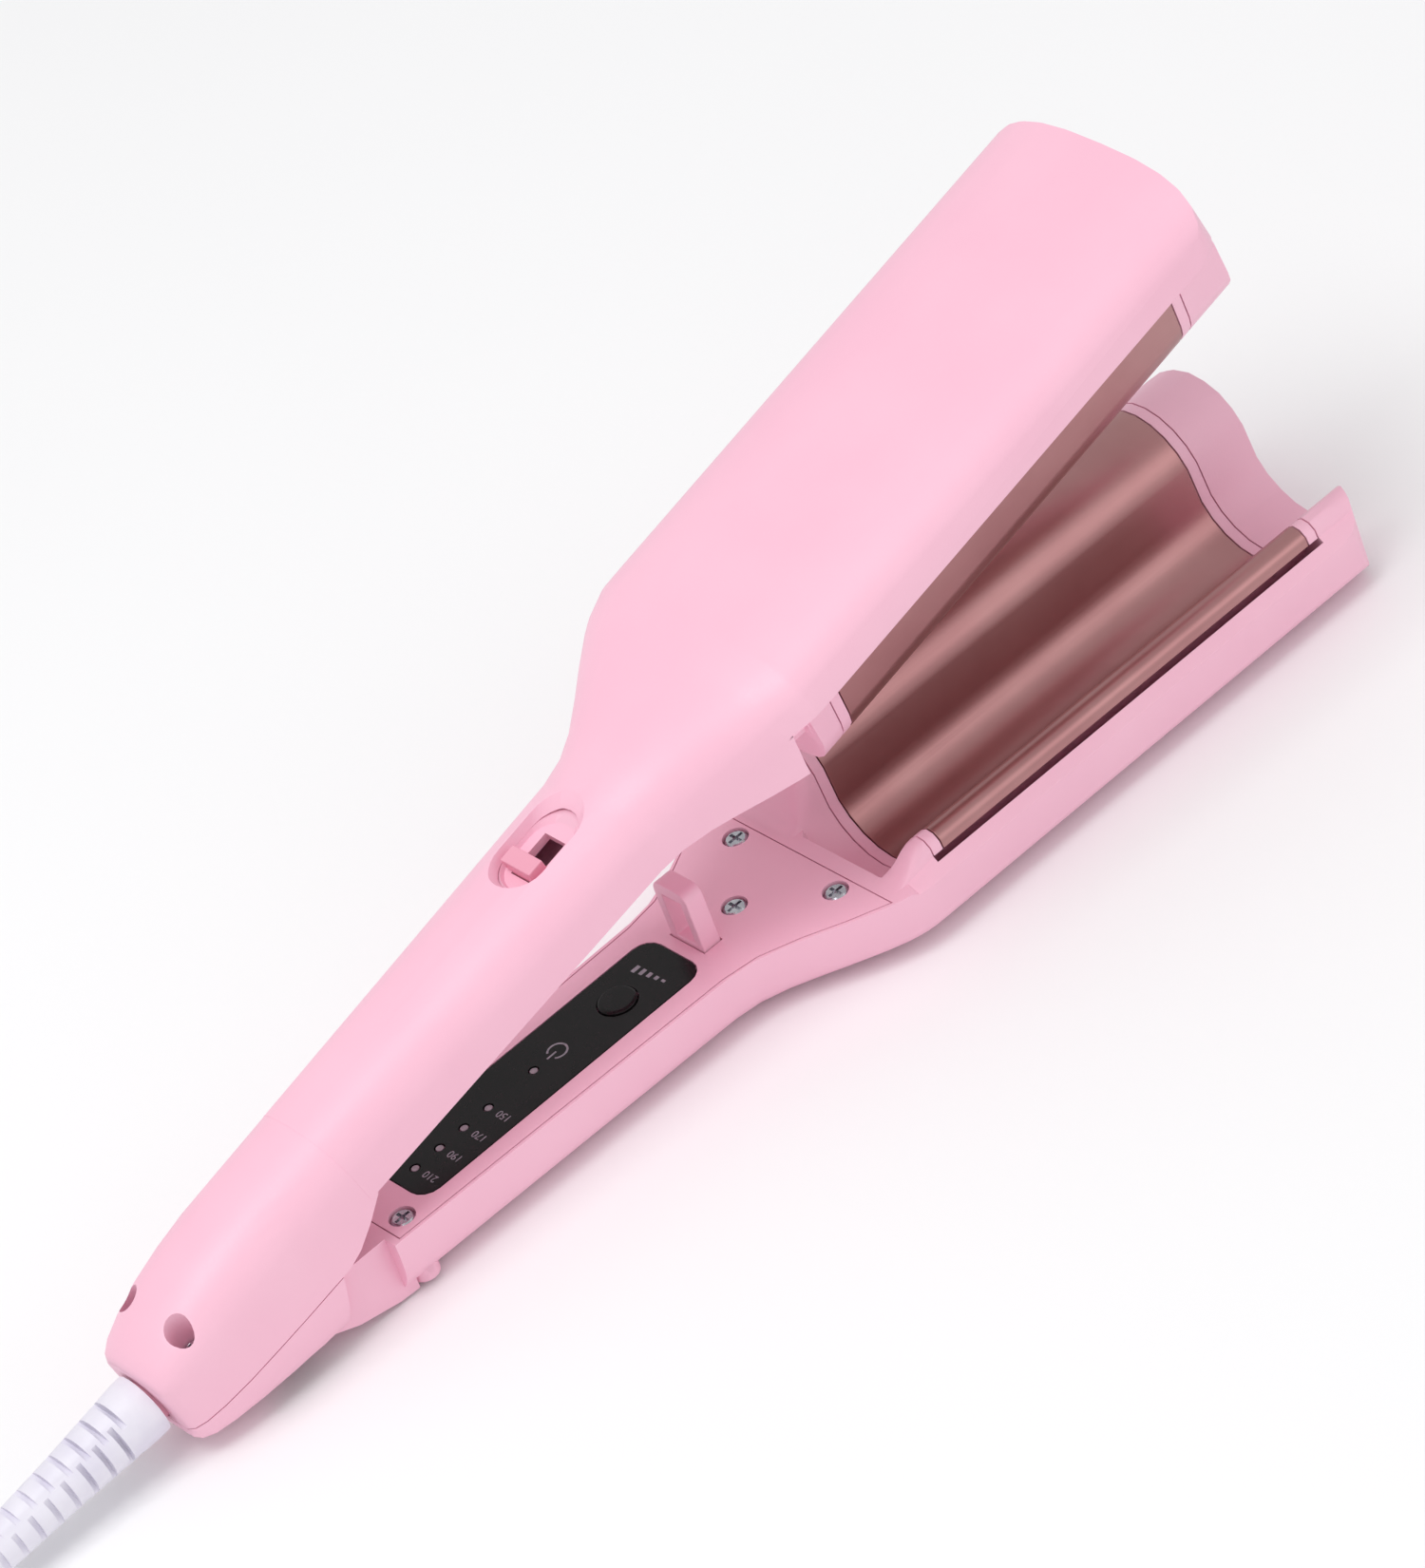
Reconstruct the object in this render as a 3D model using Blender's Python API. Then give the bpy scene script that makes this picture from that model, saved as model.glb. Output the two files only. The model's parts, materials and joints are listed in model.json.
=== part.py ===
"""Hair crimper: two hinged arms with deep wave plates, lying open on its lower arm.

Frame: X towards the tip, Y to the left, Z up, the table at Z = 0. Inside an arm, x is measured from the
hinge axis and z from the table with the arms closed. The lower arm is modelled as it lies, and the upper
arm, which carries the rear body and the cord, is turned up about the hinge by OPEN_ANGLE.
"""

import math

import bmesh
import bpy
from mathutils import Matrix, Vector

MM = 0.001

# Driving sizes
OPEN_ANGLE = math.radians(13.2)
TIP_X = 288 * MM  # hinge axis to the end of the jaws
REAR_X = 25 * MM  # hinge axis to the rear end face
HINGE_Z = 14.5 * MM
JAW_X = 167 * MM  # hinge axis to the handle end of the plates
PLATE_LENGTH = 104.5 * MM
JAW_HALF = 32 * MM
HANDLE_HALF = 15.8 * MM
HINGE_HALF = 13.4 * MM
NECK_HALF = 10.5 * MM
FACE_LOW = 16.5 * MM  # inner face of the lower arm
CLOSED_GAP = 6.5 * MM  # between the inner faces when closed
HANDLE_DEPTH = 16.5 * MM
JAW_TOP = 47 * MM  # closed height of the jaws
WALL = 2.2 * MM
COVER = 2.6 * MM
RIM = 1.0 * MM  # shell edge seen round a cover
FIT = 0.3 * MM
WIDEN = 42 * MM  # length over which the handle widens to the jaw
WIDE_X = 160 * MM  # where the jaw has its full width

# Wave of the plates
WAVE_Z = 20.5 * MM
HUMP_Y = 19.2 * MM
VALLEY_Y = -8.6 * MM
WAVE_R = 13.9 * MM
RIDGE_R = 3.2 * MM
RIDGE_Z = 18.9 * MM
PLATE_GAP = 1.0 * MM
PLATE_T = 1.2 * MM
CARRIER_T = 1.2 * MM
LIP = 2.7 * MM  # carrier seen beyond each end of a plate
UPPER_EDGE = (-25.8 * MM, 33.8 * MM)  # right edge of the upper plate
PLATE_EDGE = JAW_HALF - 2.6 * MM

# Hinge
PIN_R = 1.75 * MM
PIN_HALF = 12.3 * MM
PART_Z = HINGE_Z  # the rear body is split through the hinge axis
HUB_R = 5.8 * MM
HUB_HALF = 4.5 * MM
SPRING_R = 3.9 * MM
SPRING_WIRE = 1.2 * MM

# Control panel and its parts
PANEL_X = (41 * MM, 117 * MM)
PANEL_HALF = 9 * MM
PANEL_R = 4 * MM
PANEL_T = 0.8 * MM
BUTTON_X = 101 * MM
BUTTON_R = 4.2 * MM
BUTTON_TRAVEL = 0.5 * MM
POWER_LED_X = 78 * MM
LED_X = 65.7 * MM
LED_PITCH = 6.6 * MM
LED_COUNT = 4
LED_R = 0.9 * MM
BOARD_Z = 7.6 * MM
BOARD_T = 1.4 * MM

# Latch
LOOP_X = 122.7 * MM
LOOP_T = 4.5 * MM
LOOP_WINDOW = (6 * MM, 11 * MM)
LOOP_HALF = 5.3 * MM
LOOP_HEIGHT = 15 * MM
SLIDER_X = 101.2 * MM
SLIDER_T = 4 * MM
SLIDER_HALF = 4.6 * MM
SLIDER_TRAVEL = 6 * MM
SCOOP_TOP = (93.5 * MM, 120 * MM)
SCOOP_FLOOR = (96 * MM, 113 * MM)
SCOOP_HALF = 7.4 * MM
SCOOP_DEPTH = 4 * MM

# Screws
SCREW_R = 1.5 * MM
SCREW_HEAD_R = 2.6 * MM
COVER_SCREWS = {
    "cover_screw_front_left": (147.5 * MM, 15.8 * MM),
    "cover_screw_front_right": (147.5 * MM, -15.8 * MM),
    "cover_screw_middle": (133.3 * MM, 0.0),
    "cover_screw_rear_left": (35.3 * MM, 8.6 * MM),
    "cover_screw_rear_right": (35.3 * MM, -8.6 * MM),
}
UPPER_SCREWS = {"upper_cover_screw_front": 140 * MM, "upper_cover_screw_rear": 62 * MM}
REAR_SCREW = (-13.5 * MM, 8.2 * MM)

# Cord
CORD_D = 6.2 * MM
RELIEF_LENGTH = 50 * MM
RELIEF_R = (7.1 * MM, 4.6 * MM)
RELIEF_AT = (-26.3 * MM, 20.1 * MM)  # middle of its wide end, with the arms closed
RELIEF_TILT = math.radians(6.2)
COLLAR_R = 5.0 * MM
COLLAR_FLANGE_R = 6.8 * MM
COIL_R = 34 * MM
COIL_AT = (-0.2735, 0.0173)
LEAD = [
    (-0.1828, 0, 0.0079), (-0.1890, 0, 0.0070), (-0.2000, -0.0019, 0.0053), (-0.2110, -0.0067, 0.0040),
    (-0.2220, -0.0130, 0.0034), (-0.2330, -0.0193, 0.0033), (-0.2445, -0.0242, 0.0033),
]
TAIL = [
    (-0.2385, 0.0540, 0.0112), (-0.2310, 0.0532, 0.0088), (-0.2230, 0.0524, 0.0073), (-0.2175, 0.0520, 0.0069),
]
PLUG_X = -0.2172
PLUG_Y = 0.052
PLUG_SIZE = (33 * MM, 27 * MM, 13.8 * MM)
PLUG_PIN = (2 * MM, 19 * MM, 9.5 * MM)  # radius, length, distance from the middle

PINK = (0.92, 0.47, 0.60, 1)
PINK_DARK = (0.80, 0.38, 0.50, 1)
ROSE = (0.55, 0.30, 0.30, 1)
BLACK = (0.012, 0.010, 0.010, 1)
WHITE = (0.80, 0.79, 0.88, 1)
STEEL = (0.62, 0.62, 0.64, 1)
BROWN = (0.30, 0.16, 0.08, 1)
GREEN = (0.03, 0.22, 0.09, 1)


def turned_up(x, z):
    """Where a point of the closed upper arm is when the arms are open, from the hinge axis and the table."""
    rise = z - HINGE_Z
    c, s = math.cos(OPEN_ANGLE), math.sin(OPEN_ANGLE)
    return x * c - rise * s, HINGE_Z + x * s + rise * c


def relief_reach():
    """How far behind the hinge axis the open object reaches."""
    x, z = RELIEF_AT
    end = turned_up(
        x - RELIEF_LENGTH * math.cos(RELIEF_TILT), z + RELIEF_LENGTH * math.sin(RELIEF_TILT)
    )
    return -end[0] + RELIEF_R[1] * math.sin(OPEN_ANGLE - RELIEF_TILT)


HINGE_X = -(TIP_X - relief_reach()) / 2
# Lofted walls and cutters meet at shallow angles in these, where the exact solver leaves open edges.
SHALLOW_PIECES = {"lower_shell", "upper_shell", "rear_cover", "lower_plate_carrier", "upper_plate_carrier"}
PARTS = bpy.data.collections.new("hair_crimper")
CUTTERS = bpy.data.collections.new("cutters")


def clear_scene():
    for obj in list(bpy.data.objects):
        bpy.data.objects.remove(obj)
    bpy.context.scene.collection.children.link(PARTS)
    bpy.context.scene.collection.children.link(CUTTERS)


def material(name, colour, roughness, metallic=0.0):
    made = bpy.data.materials.get(name)
    if made is None:
        made = bpy.data.materials.new(name)
        made.use_nodes = True
        shader = made.node_tree.nodes["Principled BSDF"]
        shader.inputs["Base Color"].default_value = colour
        shader.inputs["Roughness"].default_value = roughness
        shader.inputs["Metallic"].default_value = metallic
    return made


def arm_empty(name, tilt):
    """An empty on the hinge axis, which its arm's pieces are parented to."""
    empty = bpy.data.objects.new(name, None)
    empty.location = (HINGE_X, 0, HINGE_Z)
    empty.rotation_euler = (0, -tilt, 0)
    PARTS.objects.link(empty)
    return empty


def add_piece(name, mesh_bm, arm, finish=None, smooth=30):
    """A part, or a cutter where it has no finish, from a bmesh in the closed frame of an arm."""
    bmesh.ops.recalc_face_normals(mesh_bm, faces=mesh_bm.faces)
    bmesh.ops.translate(mesh_bm, verts=mesh_bm.verts, vec=(0, 0, -HINGE_Z))
    mesh = bpy.data.meshes.new(name)
    mesh_bm.to_mesh(mesh)
    mesh_bm.free()
    obj = bpy.data.objects.new(name, mesh)
    obj.parent = arm
    if finish is None:
        CUTTERS.objects.link(obj)
        obj.hide_render = True
        obj.display_type = "WIRE"
    else:
        PARTS.objects.link(obj)
        mesh.materials.append(finish)
        mesh.shade_smooth()
        mesh.set_sharp_from_angle(angle=math.radians(smooth))
    return obj


def boolean(obj, cutter, operation="DIFFERENCE"):
    modifier = obj.modifiers.new(operation.title(), "BOOLEAN")
    modifier.operation = operation
    modifier.object = cutter
    modifier.solver = "MANIFOLD" if obj.name in SHALLOW_PIECES else "EXACT"
    return modifier


def box(low, high):
    made = bmesh.new()
    bmesh.ops.create_cube(made, size=1)
    size = Vector(high) - Vector(low)
    middle = (Vector(high) + Vector(low)) / 2
    bmesh.ops.scale(made, verts=made.verts, vec=size)
    bmesh.ops.translate(made, verts=made.verts, vec=middle)
    return made


def rod(centre, radius, depth, axis="Z", segments=24, top_radius=None):
    """A closed cylinder or cone centred on a point, along X, Y or Z."""
    made = bmesh.new()
    top = radius if top_radius is None else top_radius
    bmesh.ops.create_cone(
        made, cap_ends=True, segments=segments, radius1=radius, radius2=top, depth=depth
    )
    turn = {
        "X": Matrix.Rotation(math.pi / 2, 4, "Y"),
        "Y": Matrix.Rotation(-math.pi / 2, 4, "X"),
        "Z": Matrix.Identity(4),
    }
    bmesh.ops.transform(made, matrix=turn[axis], verts=made.verts)
    bmesh.ops.translate(made, verts=made.verts, vec=centre)
    return made


def loft(rings):
    """A closed body through rings of equal length, with flat ends."""
    made = bmesh.new()
    rows = [[made.verts.new(point) for point in ring] for ring in rings]
    for before, after in zip(rows, rows[1:]):
        for i in range(len(before)):
            j = (i + 1) % len(before)
            made.faces.new((before[i], before[j], after[j], after[i]))
    made.faces.new(rows[0])
    made.faces.new(rows[-1])
    bmesh.ops.triangulate(made, faces=[f for f in made.faces if len(f.verts) > 4])
    return made


def prism(outline, low, high):
    """A flat outline of (x, y) points, raised from low to high."""
    return loft([[(x, y, z) for x, y in outline] for z in (low, high)])


def rounded_outline(x_range, half, radius, steps=4):
    """A rounded rectangle about the X axis, as (x, y) points."""
    points = []
    corners = (
        (x_range[1] - radius, half - radius, 0),
        (x_range[0] + radius, half - radius, 90),
        (x_range[0] + radius, radius - half, 180),
        (x_range[1] - radius, radius - half, 270),
    )
    for x, y, start in corners:
        for i in range(steps + 1):
            angle = math.radians(start + 90 * i / steps)
            points.append((x + radius * math.cos(angle), y + radius * math.sin(angle)))
    return points


def smooth_step(value, low, high):
    t = min(1.0, max(0.0, (value - low) / (high - low)))
    return t * t * (3 - 2 * t)


def jaw_share(x):
    """0 in the handle and 1 in the jaw."""
    return smooth_step(x, WIDE_X - WIDEN, WIDE_X)


def half_width(x):
    along = min(1.0, max(0.0, x / (WIDE_X - WIDEN)))
    handle = HINGE_HALF + (HANDLE_HALF - HINGE_HALF) * along
    return handle + (JAW_HALF - handle) * jaw_share(x)


def arc(centre, radius, start, end, steps):
    return [
        (
            centre[0] + radius * math.cos(math.radians(start + (end - start) * i / steps)),
            centre[1] + radius * math.sin(math.radians(start + (end - start) * i / steps)),
        )
        for i in range(steps + 1)
    ]


def ridge_centre():
    apart = WAVE_R + RIDGE_R
    return (VALLEY_Y - math.sqrt(apart**2 - (WAVE_Z - RIDGE_Z) ** 2), RIDGE_Z)


def lower_wave(depth=0.0):
    """The lower plate's section from right to left as (y, z), sunk by depth."""
    ridge = ridge_centre()
    meet = math.degrees(math.atan2(WAVE_Z - RIDGE_Z, VALLEY_Y - ridge[0]))
    edge = math.degrees(math.acos((PLATE_EDGE - HUMP_Y) / (WAVE_R - depth)))
    points = arc(ridge, RIDGE_R - depth, 190, meet, 5)
    points += arc((VALLEY_Y, WAVE_Z), WAVE_R + depth, 180 + meet, 360, 10)[1:]
    points += arc((HUMP_Y, WAVE_Z), WAVE_R - depth, 180, edge, 8)[1:]
    return points


def upper_wave(depth=0.0):
    """The upper plate's section from right to left as (y, z), closed, raised by depth."""
    radius = WAVE_R - PLATE_GAP - depth
    away = Vector(UPPER_EDGE) + Vector((depth, 0)) - Vector((VALLEY_Y, WAVE_Z))
    side = math.degrees(math.atan2(away.y, away.x) + math.acos(radius / away.length))
    edge = math.degrees(math.acos((PLATE_EDGE - HUMP_Y) / (WAVE_R + PLATE_GAP + depth)))
    points = [(UPPER_EDGE[0] + depth, UPPER_EDGE[1])]
    points += arc((VALLEY_Y, WAVE_Z), radius, side, 360, 10)
    points += arc((HUMP_Y, WAVE_Z), WAVE_R + PLATE_GAP + depth, 180, edge, 8)[1:]
    return points


def wave_sheet(wave, depths, x_range):
    """A sheet that follows the wave from one depth to another, along X."""
    section = wave(depths[0]) + list(reversed(wave(depths[1])))
    return loft([[(x, y, z) for y, z in section] for x in x_range])


def arm_top(x):
    handle = FACE_LOW + CLOSED_GAP + HANDLE_DEPTH
    return handle + (JAW_TOP - handle) * jaw_share(x)


def shell_curve(x, inset, upper, steps=13):
    """The rounded back of an arm at x, from left to right, as (y, z)."""
    share = jaw_share(x)
    power = 2.4 + 0.9 * share
    half = half_width(x) - inset
    if upper:
        top = arm_top(x)
        centre = FACE_LOW + CLOSED_GAP + 3 * MM
        centre += (34.5 * MM - centre) * share
        height = top - centre - inset
    else:
        centre = FACE_LOW - 3.5 * MM - 1 * MM * share
        height = inset - centre
    return superellipse(half, centre, height, power, steps)


def superellipse(half, centre, height, power, steps):
    """A rounded back from left to right. An odd number of steps leaves it flat across the middle."""
    points = []
    height /= math.sin(math.pi * (steps // 2) / steps) ** (2 / power)
    for i in range(steps + 1):
        angle = math.pi * i / steps
        c, s = math.cos(angle), math.sin(angle)
        y = half * math.copysign(abs(c) ** (2 / power), c)
        points.append((y, centre + height * abs(s) ** (2 / power)))
    return points


# How far the inner side has turned from flat to waved: along x, where it stands out and where it is cut back.
LOWER_TURN = (
    (29, 0, 0), (45, 0, 0), (65, 0, 0), (90, 0, 0), (110, 0, 0), (118, 0, 0), (124, 0, 0), (130, 0, 0),
    (136, 0, 0), (142, 0, 0), (148, 0, 0), (152.5, 0, 0), (155, 0.10, 0), (156.5, 0.24, 1), (158.5, 0.52, 1),
    (160.5, 0.80, 1), (162.3, 0.96, 1), (163.5, 1, 1), (220, 1, 1), (291, 1, 1),
)
UPPER_TURN = (
    (31, 0, 0), (45, 0, 0), (65, 0, 0), (90, 0, 0), (110, 0, 0), (118, 0, 0), (124, 0, 0), (130, 0, 0),
    (136, 0, 0), (142, 0, 0), (148, 0, 0), (150, 0, 0), (151.5, 0, 1), (157.3, 0, 1), (158, 0.5, 1),
    (158.6, 1, 1), (163.5, 1, 1), (220, 1, 1), (291, 1, 1),
)


def inner_side(x, out, back, upper):
    """The inner side of an arm at x, from right to left: flat in the handle, waved in the jaw."""
    if upper:
        face = FACE_LOW + CLOSED_GAP
        points = [(-JAW_HALF, 34 * MM)] + upper_wave() + [(JAW_HALF, 33 * MM)]
        shares = (back, out)
    else:
        face = FACE_LOW
        points = [(-JAW_HALF, 15.5 * MM)] + lower_wave() + [(JAW_HALF, 27 * MM)]
        shares = (out, back)
    shrink = half_width(x) / JAW_HALF
    return [(y * shrink, face + (z - face) * shares[z < face]) for y, z in points]


def arm_body(turns, upper):
    rings = []
    for station, out, back in turns:
        x = station * MM
        section = shell_curve(x, 0, upper) + inner_side(x, out, back, upper)
        rings.append([(x, y, z) for y, z in section])
    return loft(rings)


def tip_plan(name, arm):
    """A prism whose tip end has the plan shape of the jaws."""
    length = 24 * MM
    side = []
    for i in range(13):
        u = math.sin(math.pi / 2 * i / 12)
        across = JAW_HALF * (1 - min(1, u) ** 9) ** 0.42
        side.append((TIP_X - length + length * u, across + 0.04 * MM))
    wide = 60 * MM
    outline = [(-wide, -wide), (side[0][0] - 1 * MM, -wide)] + [(x, -y) for x, y in side]
    outline += [(x, y) for x, y in reversed(side)] + [(side[0][0] - 1 * MM, wide), (-wide, wide)]
    return add_piece(name, prism(outline, -20 * MM, 90 * MM), arm)


def hollow(name, arm, upper, x_values, right_limit=None):
    """The hollow of an arm, open on its inner side."""
    rings = []
    reach = -20 * MM if upper else 70 * MM
    for x in x_values:
        back = shell_curve(x, WALL, upper)
        if right_limit is not None:
            back = [(max(y, right_limit), z) for y, z in back]
            back = back[: 1 + next(i for i, (y, _) in enumerate(back) if y <= right_limit)]
        left, right = back[0][0], back[-1][0]
        section = back + [(right, reach), ((left + right) / 2, reach), (left, reach)]
        rings.append([(x, y, z) for y, z in section])
    return add_piece(name, loft(rings), arm)


def face_outline(x_range, inset):
    """The plan of the handle's flat inner face between two places along x, inset from its edge."""
    steps = 14
    span = x_range[1] - x_range[0]
    side = [x_range[0] + span * i / steps for i in range(steps + 1)]
    right = [(x, inset - half_width(x)) for x in side]
    return right + [(x, -y) for x, y in reversed(right)]


def cover_range(upper):
    return (31.5 * MM, 148.5 * MM) if upper else (31 * MM, 151 * MM)


HANDLE_X = [x * MM for x in (33, 45, 65, 90, 110, 118, 124, 130, 136, 142, 147)]


def hollow_arm(shell, arm, upper):
    """Cuts what both arms have: tip shape, handle hollow, cover recess, jaw hollow and wire tunnel."""
    side = "upper" if upper else "lower"
    boolean(shell, tip_plan(side + "_tip_plan", arm), "INTERSECT")
    boolean(shell, hollow(side + "_handle_hollow", arm, upper, HANDLE_X))
    low, high = cover_range(upper)
    outline = face_outline((low - FIT, high + FIT), RIM - FIT)
    if upper:
        span = (FACE_LOW + CLOSED_GAP - 9 * MM, FACE_LOW + CLOSED_GAP + COVER + FIT)
    else:
        span = (FACE_LOW - COVER - FIT, FACE_LOW + 9 * MM)
    boolean(shell, add_piece(side + "_cover_recess", prism(outline, *span), arm))
    jaw = [JAW_X - LIP - FIT, JAW_X + PLATE_LENGTH + LIP + FIT]
    limit = UPPER_EDGE[0] - FIT if upper else None
    boolean(shell, hollow(side + "_jaw_hollow", arm, upper, jaw, limit))
    if upper:
        tunnel = box((145 * MM, -15 * MM, 28 * MM), (JAW_X, -1 * MM, 36 * MM))
    else:
        tunnel = box((145 * MM, 7 * MM, 4 * MM), (JAW_X, 23 * MM, 11.5 * MM))
    boolean(shell, add_piece(side + "_wire_tunnel", tunnel, arm))


def screw_post(shell, arm, name, place, height, upper=False):
    """A post that a screw is driven into: added to a shell, then bored."""
    x, y = place
    if upper:
        low, high = height, arm_top(x) - WALL / 2
        bore = (low - 1 * MM, low + 9 * MM)
    else:
        low, high = 1.2 * MM, height
        bore = (high - 9 * MM, high + 1 * MM)
    middle = (x, y, (low + high) / 2)
    post = add_piece(name + "_post", rod(middle, 3.1 * MM, high - low, segments=16), arm)
    boolean(shell, post, "UNION")
    hole = rod((x, y, sum(bore) / 2), SCREW_R + FIT, bore[1] - bore[0], segments=16)
    boolean(shell, add_piece(name + "_bore", hole, arm))


def screw(name, arm, place, seat, up, finish):
    """A countersunk-style screw: its head sits on seat and its shank runs the other way from up."""
    x, y = place
    head = 1.1 * MM
    length = 8 * MM
    profile = [
        (seat + up * head, SCREW_HEAD_R - 0.5 * MM), (seat + up * head * 0.55, SCREW_HEAD_R),
        (seat, SCREW_HEAD_R), (seat, SCREW_R), (seat - up * length, SCREW_R),
        (seat - up * (length + 1 * MM), 0.5 * MM),
    ]
    rings = [
        [(x + r * math.cos(math.tau * i / 12), y + r * math.sin(math.tau * i / 12), z) for i in range(12)]
        for z, r in profile
    ]
    obj = add_piece(name, loft(rings), arm, finish)
    slot = box((x - 1.8 * MM, y - 0.35 * MM, seat + up * head - 0.5 * MM),
               (x + 1.8 * MM, y + 0.35 * MM, seat + up * head + 0.5 * MM))
    boolean(obj, add_piece(name + "_slot", slot, arm))
    return obj


def counterbore(cover, arm, name, place, face, up):
    """The stepped hole in a cover for a screw. The face is the seen one, and up points out of it."""
    x, y = place
    deep = 1.6 * MM
    wide = rod((x, y, face - up * (deep - 1 * MM) / 2), SCREW_HEAD_R + FIT, deep + 1 * MM, segments=20)
    boolean(cover, add_piece(name + "_counterbore", wide, arm))
    through = rod((x, y, face), SCREW_R + FIT, 12 * MM, segments=16)
    boolean(cover, add_piece(name + "_hole", through, arm))
    return face - up * (deep - FIT)


def make_neck(shell, arm):
    """The lower arm's narrow end, which the hinge pin goes through."""
    outline = [(30, 12), (32, 12), (32, 0.6), (27, 0.9), (17, 3.0), (9, 6.4)]
    outline = [(x * MM, z * MM) for x, z in outline] + [(9 * MM, FACE_LOW), (30 * MM, FACE_LOW)]
    neck = loft([[(x, y, z) for x, z in outline] for y in (-NECK_HALF, NECK_HALF)])
    boolean(shell, add_piece("neck", neck, arm), "UNION")
    tongue = loft([
        [(x, y, z) for x, z in ((12 * MM, FACE_LOW - 1 * MM), (12 * MM, 7 * MM), (0, 8.9 * MM), (0, FACE_LOW - 1 * MM))]
        for y in (-HUB_HALF, HUB_HALF)
    ])
    boolean(shell, add_piece("hub_tongue", tongue, arm), "UNION")
    hub = rod((0, 0, HINGE_Z), HUB_R, 2 * HUB_HALF, "Y", 28)
    boolean(shell, add_piece("hub", hub, arm), "UNION")
    bore = rod((0, 0, HINGE_Z), PIN_R + FIT, 3 * HUB_HALF, "Y", 24)
    boolean(shell, add_piece("hub_bore", bore, arm))
    for number, (back, front, near) in enumerate(((5, 16, 5.7), (14, 36, 1.0))):
        channel = box((back * MM, near * MM, 7.5 * MM), (front * MM, 9.0 * MM, 11.5 * MM))
        boolean(shell, add_piece(f"neck_wire_channel_{number}", channel, arm))


def make_lower_arm(arm, pink, dark_pink, rose, steel, brown):
    shell = add_piece("lower_shell", arm_body(LOWER_TURN, False), arm, pink)
    hollow_arm(shell, arm, False)
    make_neck(shell, arm)
    cover_outline = face_outline(cover_range(False), RIM)
    cover = prism(cover_outline, FACE_LOW - COVER, FACE_LOW)
    cover = add_piece("lower_inner_cover", cover, arm, pink)
    for name, place in COVER_SCREWS.items():
        screw_post(shell, arm, name, place, FACE_LOW - COVER - FIT)
        seat = counterbore(cover, arm, name, place, FACE_LOW, 1)
        screw(name, arm, place, seat, 1, steel)
    for number, x in enumerate((52 * MM, 94 * MM), 1):
        standoff = rod((x, 0, (1.2 * MM + BOARD_Z - FIT) / 2), 2 * MM, BOARD_Z - FIT - 1.2 * MM, segments=12)
        boolean(shell, add_piece(f"board_standoff_{number}", standoff, arm), "UNION")
    make_plate("lower", lower_wave, arm, pink, rose)
    x_range = (JAW_X + 8 * MM, JAW_X + PLATE_LENGTH - 8 * MM)
    heater = box((x_range[0], HUMP_Y - 5 * MM, 27 * MM), (x_range[1], HUMP_Y + 5 * MM, 30.0 * MM))
    add_piece("lower_heater", heater, arm, brown)
    clip = spring_clip(x_range, HUMP_Y, 26.7 * MM, WALL + 1.9 * MM)
    add_piece("lower_heater_clip", clip, arm, steel)
    add_piece("thermistor", rod((JAW_X + 4 * MM, HUMP_Y - 2 * MM, 28 * MM), 1.3 * MM, 6 * MM, "X", 12), arm, dark_pink)
    add_piece("thermal_fuse", rod((JAW_X + 14 * MM, HUMP_Y - 8 * MM, 9 * MM), 1.9 * MM, 12 * MM, "X", 12), arm, steel)
    return cover


def spring_clip(x_range, y, top, floor):
    """A bent strip along X that holds a heater against its plate from the floor of the shell."""
    middle = (x_range[0] + x_range[1]) / 2
    reach = 34 * MM
    thick = 0.8 * MM
    line = [(middle - reach, floor), (middle - reach * 0.35, top), (middle + reach * 0.35, top), (middle + reach, floor)]
    over = [(x, z - math.copysign(thick, top - floor)) for x, z in line]
    over[0] = (line[0][0] + thick * 2, floor)
    over[3] = (line[3][0] - thick * 2, floor)
    outline = line + list(reversed(over))
    return loft([[(x, side, z) for x, z in outline] for side in (y - 3.5 * MM, y + 3.5 * MM)])


def make_plate(side, wave, arm, pink, rose):
    """A heating plate and the carrier that it lies in, whose ends are seen beyond it."""
    ends = (JAW_X, JAW_X + PLATE_LENGTH)
    add_piece(side + "_heating_plate", wave_sheet(wave, (0, PLATE_T), ends), arm, rose, 40)
    deep = PLATE_T + FIT
    shy = 0.2 * MM
    lips = (ends[0] - LIP, ends[1] + LIP)
    sheet = wave_sheet(wave, (deep, deep + CARRIER_T), (lips[0] + shy, lips[1] - shy))
    carrier = add_piece(side + "_plate_carrier", sheet, arm, pink, 40)
    for number, span in enumerate(((lips[0], ends[0] - FIT), (ends[1] + FIT, lips[1]))):
        lip = wave_sheet(wave, (0, deep + CARRIER_T / 2), span)
        boolean(carrier, add_piece(f"{side}_lip_{number}", lip, arm), "UNION")


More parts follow.
